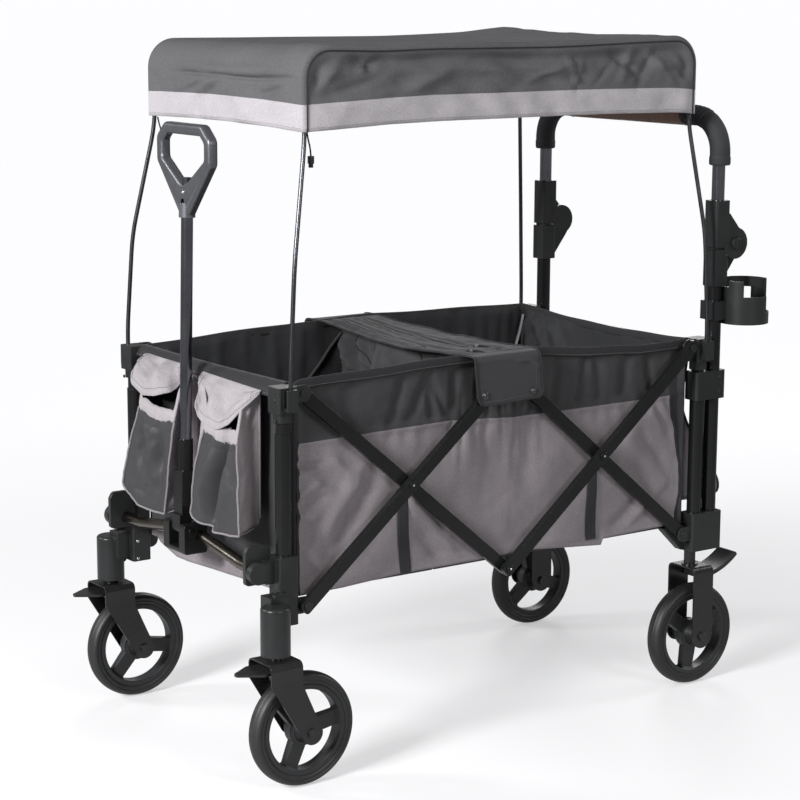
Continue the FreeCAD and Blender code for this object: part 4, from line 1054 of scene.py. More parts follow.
cols = []  # (face, along, x, y, nx, ny, stretch)
KEDGE = 378.0
for k, xb in enumerate(np.linspace(-TX + TR, KEDGE, 156)):
    cols.append(("near", xb))
cols += [("near", 382.0), ("near", 387.0), ("near", TX - TR)]
for a in (22.5, 45, 67.5):
    cols.append(("c0", a))
for y in np.linspace(-TY + TR, TY - TR, 76):
    cols.append(("rear", y))
for a in (22.5, 45, 67.5):
    cols.append(("c1", a))
for xb in np.linspace(TX - TR, -TX + TR, 130):
    cols.append(("far", xb))
for a in (22.5, 45, 67.5):
    cols.append(("c2", a))
for y in np.linspace(TY - TR, -TY + TR, 84):
    cols.append(("front", y))
for a in (22.5, 45, 67.5):
    cols.append(("c3", a))

HEM_ROWS, LOW_ROWS, UP_ROWS, RIM_ROWS = 2, 44, 18, 2
NROW = HEM_ROWS + LOW_ROWS + UP_ROWS + RIM_ROWS + 1
tub_pts = np.zeros((len(cols), NROW, 3))
rim_path, col_face = [], []


def levels(hem, edge, rim):
    rows = [hem + 9 * k / HEM_ROWS for k in range(HEM_ROWS)]
    rows += [hem + 9 + (edge - hem - 9) * k / LOW_ROWS for k in range(LOW_ROWS)]
    rows += [edge + (rim - 13 - edge) * k / UP_ROWS for k in range(UP_ROWS)]
    rows += [rim - 13 + 13 * k / RIM_ROWS for k in range(RIM_ROWS + 1)]
    return np.array(rows)


CORNER = {"c0": (1, -1, "near", "rear"), "c1": (1, 1, "rear", "far"), "c2": (-1, 1, "far", "front"), "c3": (-1, -1, "front", "near")}
EDGE_OF = {"near": lambda v: near_boundary(v), "far": lambda v: near_boundary(v), "rear": lambda v: 430.0, "front": lambda v: 314.0}


def rear_rim(y):
    t = (np.asarray(y, float) + TY) / (2 * TY)
    return 618 + 6 * t - 8.0 * np.sin(math.pi * t) + 0.6 * np.sin(np.asarray(y) / 23.0)


def front_rim(y):
    t = (np.asarray(y, float) + TY) / (2 * TY)
    return 620 - 3 * t - 2.0 * np.sin(math.pi * t)


for i, (face, v) in enumerate(cols):
    if face == "near":
        z = levels(float(near_hem(v)), float(near_boundary(v)), float(near_rim(v)))
        w = smooth(250, KEDGE, v) if v <= KEDGE else (TX - TR - v) / (TX - TR - KEDGE)
        x = v + (near_edge(z) - KEDGE) * w
        win = smooth(0, 22, z - z[0]) * smooth(0, 12, z[-1] - z) * smooth(TX, TX - 16, x) * smooth(-TX, -TX + 20, x)
        win = win * (1 - 0.55 * bump(z, near_boundary(v), 5))
        d = near_folds(x, z) * 1.55 * win - (2.2 * bump(z, near_boundary(v) - 14, 13) + 1.6 * bump(z, near_boundary(v) + 12, 12)) * (0.5 + 0.5 * math.sin(v / 6.1 + 1.8 * math.sin(v / 33.0))) * win
        d = np.where(d > 0, 1.6 * np.tanh(d / 1.6), d) + 0.5 * bump(z, near_boundary(v) - 2.5, 2.2) + 0.4 * bump(z, z[0] + 4, 4)
        d = np.clip(d, -11, 1.9)
        tub_pts[i] = np.stack([x, -(TY + d), z], 1)
        rim_path.append((v, -TY, z[-1]))
    elif face == "far":
        z = levels(float(near_hem(v)), float(near_boundary(v)), float(far_rim(v)))
        x = v + 0 * z
        win = smooth(0, 22, z - z[0]) * smooth(0, 12, z[-1] - z) * smooth(TX, TX - 16, x) * smooth(-TX, -TX + 12, x)
        d = far_folds(x, z) * win
        d = np.clip(np.where(d > 0, 1.6 * np.tanh(d / 1.6), d), -12, 1.9)
        tub_pts[i] = np.stack([x, TY + d, z], 1)
        rim_path.append((v, TY, z[-1]))
    elif face in ("rear", "front"):
        s = 1 if face == "rear" else -1
        z = levels(292.0 if s > 0 else float(front_hem(v)), EDGE_OF[face](v), float(rear_rim(v) if s > 0 else front_rim(v)))
        win = smooth(0, 14, z - z[0]) * smooth(0, 12, z[-1] - z) * smooth(TY, TY - 16, abs(v))
        d = end_folds(v + 0 * z, z, 91 if s > 0 else 81) * win
        if s > 0:
            gather = smooth(60, 150, v) * smooth(TY - 4, TY - 40, v) * smooth(340, 480, z) * (1 - smooth(594, 612, z))
            d = d - gather * (15 + 6.0 * np.sin((v + (600 - z) * 0.55) / 6.4) + 3.0 * np.sin((v - (600 - z) * 0.3) / 3.9 + 1))
        d = np.clip(np.where(d > 0, 1.2 * np.tanh(d / 1.2), d), -30, 1.2)
        tub_pts[i] = np.stack([s * (TX + d), v + 0 * z, z], 1)
        rim_path.append((s * TX, v, z[-1]))
    else:
        sx, sy, before, after = CORNER[face]
        t = v / 90.0
        hems = {"near": 294.0 if sx > 0 else 287.0, "far": 294.0 if sx > 0 else 287.0, "rear": 292.0, "front": 288.0 if sy < 0 else 292.0}
        rims = {"near": float(near_rim(sx * 400)), "far": float(far_rim(sx * 400)), "rear": float(rear_rim(sy * TY)), "front": float(front_rim(sy * TY))}
        edges = {"near": 522.0, "far": 522.0, "rear": 430.0, "front": 314.0}
        z = levels(*[q[before] * (1 - t) + q[after] * t for q in (hems, edges, rims)])
        ang = {"c0": -90, "c1": 0, "c2": 90, "c3": 180}[face] + v
        cx, cy = sx * (TX - TR), sy * (TY - TR)
        x, y = cx + TR * math.cos(math.radians(ang)), cy + TR * math.sin(math.radians(ang))
        tub_pts[i] = np.stack([x + 0 * z, y + 0 * z, z], 1)
        rim_path.append((x, y, z[-1]))
    col_face.append(face)

B_ROW = HEM_ROWS + LOW_ROWS
col_x = [c[1] for c in cols]


def tub_mat(i, j):
    face, v = cols[i]
    if face in ("near", "far"):
        if face == "near" and v >= KEDGE - 0.1:
            return 2 if v < 386 else 1
        if face == "near" and v < -TX + TR + 1:
            return 2
        if face == "far" and abs(v) > TX - TR - 12:
            return 1
        return 0 if j < B_ROW else (2 if j >= NROW - 1 - RIM_ROWS else 1)
    if face == "front":
        return 0 if j < B_ROW else 1
    return 2 if face in ("c0", "c3") else 1


tub = grid("tub_walls", tub_pts, [MAT["grey"], MAT["charcoal"], MAT["binding"], MAT["lining"], MAT["lining"], MAT["lining"]], mat_of=tub_mat, thick=0, close_u=True)
applied(tub, ("SOLIDIFY", {"thickness": 0.0012, "offset": -1.0, "use_even_offset": True, "use_rim": True, "material_offset": 3}))
tub_normal = tub.data.polygons[20 * (NROW - 1) + 20].normal.copy()
folding(tub, ["tub"])

rim_line = np.array(rim_path)
rim_line[:, 2] -= 4.5
bind_section = [(-9.5, 1.7), (-9.5, 0.4), (-9.3, -1.8), (-5, -2.1), (1, -2.1), (4.0, -1.9), (5.3, -0.9), (5.3, 0.9), (4.0, 1.9), (1, 2.1), (-5, 2.1), (-9.3, 1.9)]
inset = rim_line.copy()
inset[:, 0] = np.clip(inset[:, 0], -TX + 0.6, TX - 0.6)
inset[:, 1] = np.clip(inset[:, 1], -TY + 0.4, TY - 0.4)
binding = sweep("rim_binding", inset, bind_section, [MAT["binding"]], closed=True, up=(0, 0, 1))
folding(outward(binding))


def along_tub(indices, row, off, lift_z=0.0):
    pts = tub_pts[indices, row].copy()
    for k, i in enumerate(indices):
        face = col_face[i]
        n = {"near": (0, -1, 0), "far": (0, 1, 0), "rear": (1, 0, 0), "front": (-1, 0, 0)}.get(face, (0, 0, 0))
        pts[k] += np.array(n, float) * off
        pts[k, 2] += lift_z
    return pts


near_cols = [i for i, (f, v) in enumerate(cols) if f == "near" and v <= KEDGE]
far_cols = [i for i, (f, v) in enumerate(cols) if f == "far"]
front_cols = [i for i, (f, v) in enumerate(cols) if f == "front"]
rear_cols = [i for i, (f, v) in enumerate(cols) if f == "rear"]
for tag, ids, lift in (("near", near_cols, (0, -1, 0)), ("far", far_cols, (0, 1, 0)), ("front", front_cols, (-1, 0, 0)), ("rear", rear_cols, (1, 0, 0))):
    rim = rim_line[ids].copy()
    rim[:, 2] -= 7.0
    rim += np.array(lift, float) * 2.0
    folding(stitches(f"rim_stitch_{tag}", rim, MAT["stitch"], "rear_top", lift=lift, r=0.28))
    if tag in ("near", "far"):
        folding(stitches(f"seam_stitch_{tag}", along_tub(ids, B_ROW, 0.12, -6.0), MAT["stitch"], "rear_top", lift=lift, r=0.28))
        folding(stitches(f"hem_stitch_{tag}", along_tub(ids, HEM_ROWS, 0.12), MAT["stitch"], "rear_top", lift=lift, r=0.28))
    if tag == "front":
        folding(stitches("hem_stitch_front", along_tub(ids, HEM_ROWS, 0.12), MAT["stitch"], "rear_top", lift=lift, r=0.28))

# edge binding where the grey panel ends, near side
edge_ids = [i for i, (f, v) in enumerate(cols) if f == "near" and abs(v - KEDGE) < 0.1][0]
edge_line = tub_pts[edge_ids, 1:B_ROW + 1].copy()
edge_line[:, 0] += 2.2
edge_line[:, 1] -= 0.3
folding(tube("panel_edge_piping", edge_line, 1.7, [MAT["binding"]], sides=8, step=7))
post_line = tub_pts[near_cols[0], 1:B_ROW].copy()
post_line[:, 1] -= 0.2
folding(tube("panel_front_piping", post_line, 1.6, [MAT["binding"]], sides=8, step=8))

# folding base board, in three panels, and its quilted pad
board = []
for a, b in ((-392.0, -133.0), (-130.5, 130.5), (133.0, 392.0)):
    x0, x1, y0, y1, z0, z1, r = a, b, -224.0, 224.0, 288.5, 293.5, 1.5
    verts = [(x, y, z) for z in (z0, z1) for x, y in ((x0, y0), (x1, y0), (x1, y1), (x0, y1))]
    piece = new_mesh(f"base_{len(board)}", verts, [[3, 2, 1, 0], [4, 5, 6, 7], [0, 1, 5, 4], [1, 2, 6, 5], [2, 3, 7, 6], [3, 0, 4, 7]], [MAT["board"]], smooth_shade=False)
    board.append(applied(piece, ("BEVEL", {"width": 0.0012, "segments": 2})))
folding(joined("base_board", *board))

PX_, PY_ = 390.0, 220.0
nx_, ny_ = 130, 74
px = np.linspace(-PX_, PX_, nx_)
py = np.linspace(-PY_, PY_, ny_)
gx, gy = np.meshgrid(px, py, indexing="ij")
edge = np.minimum(PX_ - np.abs(gx), PY_ - np.abs(gy))
puff = 1 - np.exp(-edge / 5.0)
seam_d = np.minimum(np.abs(gx - 131.5), np.abs(gx + 131.5))
quilt = 1 - np.exp(-((seam_d / 6.0) ** 2))
cell = np.abs(np.sin(math.pi * (gx + gy) / 66.0)) ** 0.5 * np.abs(np.sin(math.pi * (gx - gy) / 66.0)) ** 0.5
top_z = 297.5 + 7.0 * puff * (0.45 + 0.55 * quilt) * (0.72 + 0.28 * cell) + 0.5 * fbm(gx / 60.0, gy / 60.0, 0, 95)
pad = grid("floor_pad_cover", np.stack([gx, gy, top_z], 2), [MAT["charcoal"]], thick=0)
under = grid("floor_pad_base", np.stack([gx, gy, 296.6 + 0 * gx], 2)[:: nx_ - 1, :: ny_ - 1], [MAT["charcoal"]], thick=0, flip=True)
pad = joined("floor_pad_cushion", pad, under)
folding(pad, ["floor_pad"])

# webbing straps stitched down both sides
parts = []
for sign in (-1, 1):
    for sx in (-194.5, 194.5):
        zz = np.linspace(294.0, 430.0, 40)
        yy_ = []
        lean = (430 - zz) / 136.0
        xc = sx + (5.0 * lean**2 if sx < 0 else -3.0 * lean)
        for z_, x_ in zip(zz, xc):
            f = near_folds if sign < 0 else far_folds
            d = float(f(np.array([x_]), np.array([z_]))[0]) * float(smooth(0, 22, z_ - 293))
            d = max(-11, min(1.4, 1.6 * math.tanh(d / 1.6) if d > 0 else d))
            yy_.append(d)
        yy_ = np.convolve(np.pad(yy_, 3, mode="edge"), np.ones(7) / 7, mode="valid")
        w = np.linspace(-10.5, 10.5, 7)
        pts = np.zeros((7, len(zz), 3))
        for a, off in enumerate(w):
            pts[a] = np.stack([xc + off, sign * (TY + yy_ + 0.95 - 0.2 * (abs(off) > 9)), zz], 1)
        parts.append(grid(f"strap_{len(parts)}", pts, [MAT["webbing"]], thick=1.1, flip=sign > 0))
straps = joined("side_webbing", *parts)
folding(straps, ["side_straps"])



# ---------------------------------------------------------------- bridge over the middle, with flaps, zips and a divider
BY, BZ = 262.6, 633.0


def bridge_left(y):
    return np.interp(y, [-262, -231, -73, 145, 231, 262], [-80, -86, -84, -60, -58, -62])


def bridge_right(y):
    return np.interp(y, [-262, -231, -150, -58, 231, 262], [50, 58, 58, 62, 66, 62])


def bridge_top(y, v):
    t = np.clip((np.asarray(y, float) + 231) / 462.0, 0, 1)
    sag = 4 * t * (1 - t)
    return BZ + 0.5 - sag * (9.5 * (1 - v) + 6.0 * v + 5.0 * np.sin(math.pi * v) ** 2) - 3.5 * t


flap_low = {"near": (556.5, 558.0), "far": (556.0, 558.0)}
R_ROLL = 9.0
BU = []  # (kind, t)
BU += [("near", k / 26) for k in range(26)] + [("nroll", k / 6) for k in range(6)] + [("top", k / 120) for k in range(120)] + [("froll", k / 6) for k in range(6)] + [("far", k / 26) for k in range(27)]
NVB = 40
vv = np.linspace(0, 1, NVB)
bridge_pts = np.zeros((len(BU), NVB, 3))
for i, (kind, t) in enumerate(BU):
    if kind in ("near", "far"):
        f = t if kind == "near" else 1 - t
        sign = -1 if kind == "near" else 1
        xl = bridge_left(sign * BY) + (1 - f) * 6.0
        xr = bridge_right(sign * BY) + (1 - f) * 8.0
        x = xl + (xr - xl) * vv
        round_ = 13.0
        dl, dr = x - xl, xr - x
        lift = np.where(dl < round_, round_ - np.sqrt(np.maximum(0, round_**2 - (round_ - np.minimum(dl, round_)) ** 2)), 0) + np.where(dr < round_, round_ - np.sqrt(np.maximum(0, round_**2 - (round_ - np.minimum(dr, round_)) ** 2)), 0)
        low = 556.0 + 1.5 * np.sin(x / 26.0) + lift
        high = bridge_top(sign * 231, vv) - R_ROLL
        z = low + (high - low) * f
        d = 2.4 * np.sin(math.pi * f) * (fbm(x / 40.0, z / 26.0, 0, 101 if sign < 0 else 104) * 1.6 - 0.3)
        d = d - 3.6 * crease(x, z, (-70, 618), (24, 610), 6, 1.0) * (sign < 0) + 3.6 * crease(x, z, (2, 626), (56, 604), 6, 1.0) * (sign < 0) - 3.6 * crease(x, z, (18, 610), (60, 580), 7, 1.0) * (sign < 0) - 3.0 * crease(x, z, (-76, 612), (-60, 568), 6, 1.0) * (sign < 0)
        bridge_pts[i] = np.stack([x, sign * (BY + np.clip(1.35 * d, -0.7, 5.0)), z], 1)
    elif kind in ("nroll", "froll"):
        sign = -1 if kind == "nroll" else 1
        f = t if kind == "nroll" else 1 - t
        a = f * math.pi / 2
        xl, xr = bridge_left(sign * BY), bridge_right(sign * BY)
        x = xl + (xr - xl) * vv
        top = bridge_top(sign * 231, vv)
        bridge_pts[i] = np.stack([x, sign * (BY - R_ROLL + R_ROLL * math.cos(a)) + 0 * x, top - R_ROLL + R_ROLL * math.sin(a)], 1)
    else:
        y = -(BY - R_ROLL) + 2 * (BY - R_ROLL) * t
        xl, xr = bridge_left(y), bridge_right(y)
        x = xl + (xr - xl) * vv
        z = bridge_top(np.clip(y, -231, 231), vv)
        inside = smooth(236, 200, abs(y))
        z = z + inside * (fbm(x / 46.0, y / 60.0, 0, 111) * 3.4 + fbm(x / 18.0, y / 44.0, 0, 113) * 1.3)
        # pressed down along each zip, and rolled at the front edge
        for zv in (0.34, 0.66):
            z = z - inside * 2.0 * bump(vv, zv, 0.035) + inside * 2.2 * (bump(vv, zv - 0.09, 0.05) + bump(vv, zv + 0.09, 0.05))
        z = z - inside * 3.0 * bump(vv, 0.15, 0.05) + inside * 1.2 * bump(vv, 0.02, 0.05)
        bridge_pts[i] = np.stack([x, y + 0 * x, z], 1)

bridge = grid("bridge_sheet", bridge_pts, [MAT["charcoal"], MAT["lining"]], thick=0, flip=False)
welded(bridge, 0.01)
probe = max(bridge.data.polygons, key=lambda f: f.center.z)
if probe.normal.z < 0:
    bridge.data.flip_normals()
applied(bridge, ("SOLIDIFY", {"thickness": 0.0014, "offset": -1.0, "use_even_offset": True, "use_rim": True}))
folding(bridge, ["bridge_saddle"])

outline = np.vstack([bridge_pts[:, 0], bridge_pts[-1, 1:-1], bridge_pts[::-1, -1], bridge_pts[0, -2:0:-1]])
for p in outline:
    if abs(p[1]) > 250:
        p[1] += math.copysign(0.5, p[1])
    p[2] += 0.3 if abs(p[1]) < 250 else 0
folding(tube("bridge_piping", outline[::2], 1.7, [MAT["binding"]], sides=8, step=5, closed=True))


def on_bridge(v, lift=0.0, y0=-228.0, y1=228.0):
    """The line along the bridge at v, inside y0 to y1."""
    k = v * (NVB - 1)
    a = int(k)
    f = k - a
    line = bridge_pts[:, a] * (1 - f) + bridge_pts[:, min(a + 1, NVB - 1)] * f
    keep = [p for p, (kind, t) in zip(line, BU) if kind == "top" and y0 <= p[1] <= y1]
    out = np.array(keep)
    out[:, 2] += lift
    return out


ribbon = lambda w, h: [(h, w), (h, -w), (-h, -w), (-h, w)]
zip_parts, teeth_parts = [], []
for k, zv in enumerate((0.34, 0.66)):
    line = on_bridge(zv, 0.9, -205, 205)
    zip_parts.append(sweep(f"zip_tape_{k}", line, ribbon(6.0, 0.5), [MAT["binding"]], up=(0, 0, 1)))
    at = np.concatenate([[0], np.cumsum(np.linalg.norm(np.diff(line, axis=0), axis=1))])
    verts, faces = [], []
    for s_ in np.arange(2.0, at[-1] - 2.0, 2.4):
        p = np.array([np.interp(s_, at, line[:, c]) for c in range(3)])
        q = np.array([np.interp(s_ + 1.0, at, line[:, c]) for c in range(3)])
        t_ = (q - p) / np.linalg.norm(q - p)
        side = np.cross(t_, (0, 0, 1.0))
        side /= np.linalg.norm(side)
        upv = np.cross(side, t_)
        o = p + side * (0.35 if int(s_ / 2.4) % 2 else -0.35)
        base = len(verts)
        for a in (-0.75, 0.75):
            for b, c in ((-1.7, 0.2), (1.7, 0.2), (1.3, 1.5), (-1.3, 1.5)):
                verts.append(o + t_ * a + side * b + upv * c)
        faces += [[base + 3, base + 2, base + 1, base], [base + 4, base + 5, base + 6, base + 7]] + [[base + j, base + (j + 1) % 4, base + 4 + (j + 1) % 4, base + 4 + j] for j in range(4)]
    teeth_parts.append(new_mesh(f"zip_teeth_{k}", verts, faces, [MAT["plastic"]], smooth_shade=False))
folding(joined("bridge_zip_tapes", *zip_parts))
folding(joined("bridge_zip_teeth", *teeth_parts))
for k, (zv, y_) in enumerate(((0.34, -196.0), (0.66, -150.0))):
    p = on_bridge(zv, 2.0, y_ - 6, y_ + 6)[0]
    slider = sweep(f"zip_slider_{k}", [p + (0, 0, 0.6), p + (0, 9, 0.6)], [(1.8, 3.4), (1.8, -3.4), (-1.2, -4.2), (-1.2, 4.2)], [MAT["snap"]], up=(0, 0, 1))
    tab = tube(f"zip_pull_{k}", [p + (0, 1, 2.6), p + (3, -9, 3.6), p + (5, -22, 2.4)], 1.5, [MAT["cord"]], sides=8, step=3)
    folding(joined(f"zip_puller_{k}", slider, tab))
for k, v_ in enumerate((0.045, 0.955, 0.26, 0.42, 0.58, 0.74)):
    folding(stitches(f"bridge_stitch_{k}", on_bridge(v_, 0.25, -228, 228), MAT["dark_stitch"], "rear_top", r=0.3))
for tag, sign in (("near", -1), ("far", 1)):
    f_ids = [i for i, (kind, t) in enumerate(BU) if kind == tag]
    rows = bridge_pts[f_ids]
    if tag == "far":
        rows = rows[::-1]
    loop = np.vstack([rows[::-1, 3], rows[2, 4:-4], rows[:, -4]])
    loop[:, 1] += sign * 0.2
    folding(stitches(f"flap_stitch_{tag}", loop[3:-3], MAT["dark_stitch"], "rear_top", lift=(0, sign, 0), r=0.3))

snap_parts = []
for sign in (-1, 1):
    for sx, sz in ((-60.0, 570.5), (37.0, 568.5)):
        prof = [(0.01, 0.0), (6.4, 0.0), (6.6, 0.5), (6.2, 1.1), (4.6, 1.5), (4.3, 1.1), (3.6, 1.6), (2.0, 2.3), (0.01, 2.6)]
        prof = [(r, -a) for r, a in prof] if sign < 0 else prof
        snap_parts.append(lathe(f"snap_{len(snap_parts)}", prof, [MAT["snap"]], (sx, sign * (BY + 0.4), sz), axis="y", n=28, closed_profile=False))
snaps = joined("flap_snap_caps", *snap_parts)
folding(outward(snaps), ["flap_snaps"])

# divider wall hung from the bridge's front edge
ny_d, nz_d = 100, 60
dy = np.linspace(-222.5, 222.5, ny_d)
dz = np.linspace(0, 1, nz_d)
div = np.zeros((ny_d, nz_d, 3))
for i, y in enumerate(dy):
    x0 = np.interp(y, [-222, -100, 60, 222], [-62, -54, -36, -10])
    ztop = float(bridge_top(y, 0.08)) - 5.0
    z = 322 + (ztop - 322) * dz
    ya = y + 0 * z
    d = fbm(ya / 60.0, z / 70.0, 0, 121) * 7 + fbm(ya / 24.0, z / 46.0, 0, 124) * 2.6
    d = d + crease(ya, z, (196, 600), (150, 548), 9, 9) - crease(ya, z, (176, 606), (120, 560), 7, 7) + crease(ya, z, (150, 606), (104, 560), 8, 7)
    d = d - crease(ya, z, (84, 612), (80, 520), 5, 8) + crease(ya, z, (62, 600), (40, 540), 9, 6) - crease(ya, z, (36, 600), (0, 560), 8, 6) + crease(ya, z, (10, 600), (-40, 560), 8, 6)
    d = d + crease(ya, z, (210, 560), (170, 540), 7, 6) - crease(ya, z, (200, 545), (150, 530), 7, 6)
    win = smooth(0, 12, 222.5 - abs(y)) * smooth(322, 350, z) * smooth(ztop + 1, ztop - 14, z)
    div[i] = np.stack([x0 - 2.9 * d * win, ya, z], 1)
divider = grid("divider_cloth", div, [MAT["charcoal"]], thick=0)
applied(divider, ("SOLIDIFY", {"thickness": 0.0012, "offset": 0.0, "use_even_offset": True, "use_rim": True}))
folding(divider, ["divider_wall"])


def on_divider(y, z, off=1.6):
    i = int(round((y + 222.5) / 445.0 * (ny_d - 1)))
    col = div[i]
    return np.array([np.interp(z, col[:, 2], col[:, 0]) - off, y, z])


for k, line in enumerate((
    [(164, 612), (140, 596), (112, 579), (90, 564)],
    [(80, 612), (80, 590), (80, 560), (81, 520), (81, 440), (80, 330)],
    [(90, 564), (84, 545), (81, 520)],
    [(-60, 612), (-62, 560), (-64, 480), (-64, 340)],
)):
    fine = curve_points([(y, 0, z) for y, z in line], 5)
    folding(tube(f"divider_piping_{k}", [on_divider(p[0], p[2]) for p in fine], 1.5, [MAT["binding"]], sides=8, smooth_path=False))

# inner harness strap on the far wall, and a strap at the far rear corner over the rear wall's gathers
def far_inner(x, z):
    d = float(far_folds(np.array([x]), np.array([z]))[0])
    d = max(-12, min(1.6, d)) * float(smooth(0, 12, 624 - z))
    return TY + d - 2.4


strap_line = curve_points([(-12, 0, 606), (-44, 0, 572), (-76, 0, 535), (-128, 0, 470), (-165, 0, 400)], 8)
path = [(p[0], far_inner(p[0], p[2]) - 0.8, p[2]) for p in strap_line]
folding(sweep("inner_strap_far", path, ribbon(0.7, 4.5), [MAT["webbing"]], up=(0, -1, 0)))
corner = curve_points([(384, 206, 607), (379, 208, 580), (374, 211, 556), (370, 213, 536), (366, 214, 510)], 6)
folding(sweep("corner_strap", corner, ribbon(0.8, 3.2), [MAT["grey"]], up=(0, -1, 0)))
# ---------------------------------------------------------------- front rim strip, pockets and their flaps
def front(obj, slot, replaces_=()):
    return body(obj, "front_top", replaces_)


strip_y = np.linspace(219, -219, 90)
fall = [(-401.5, 1.2), (-405.5, 2.6), (-410, 2.4), (-414.5, 0.8), (-418.5, -1.8), (-421.2, -5.6), (-422.6, -10.0), (-423.4, -14.0)]
rs = np.zeros((len(strip_y), len(fall), 3))
for i, y in enumerate(strip_y):
    base = np.interp(y, [-219, -160, -70, 23, 88, 161, 219], [612.0, 611.4, 611.6, 613.0, 614.4, 615.6, 616.6])
    wob = float(noise(y / 26.0, 0, 0, 131)) * 0.8
    for j, (x, dz_) in enumerate(fall):
        rs[i, j] = (x - wob * (j / 7.0), y, base + dz_ + (wob * 0.4 if j < 5 else 0) + (float(front_rim(y)) + 0.6 - base - 1.2) * max(0.0, 1 - j / 2.5))
rail_strip = grid("front_rim_strip", rs, [MAT["binding"]], thick=1.3, flip=False)
front(rail_strip, "fabric_charcoal")
edge_pts = rs[:, -2] + (-0.9, 0, 0)
front(stitches("front_strip_stitch", edge_pts, MAT["stitch"], "front_top", lift=(-1, 0, 0.2)), "fabric_charcoal")


def pocket_bag(tag, yl, yr, bl, br, top, low, xf, seed, flipped):
    """A sewn pocket. yl, yr give the front face's left and right edge for a height t, bl and br the back's; top and low are the front hem and bottom for a width u; xf its depth."""
    nF, nJ, nG = 40, 48, 14
    face = np.zeros((nF, nJ, 3))
    back_ = np.zeros((nF, nJ, 3))
    for i in range(nF):
        u = i / (nF - 1)
        z0, z1 = low(u), top(u)
        for j in range(nJ):
            t = j / (nJ - 1)
            z = z0 + (z1 - z0) * t
            y = yl(t) * (1 - u) + yr(t) * u
            x = xf(u, t)
            face[i, j] = (x, y, z)
            zb = 392.0 + (598.0 - 392.0) * t
            back_[i, j] = (-419.0, bl(t) * (1 - u) + br(t) * u, zb)
    return face, back_, nG


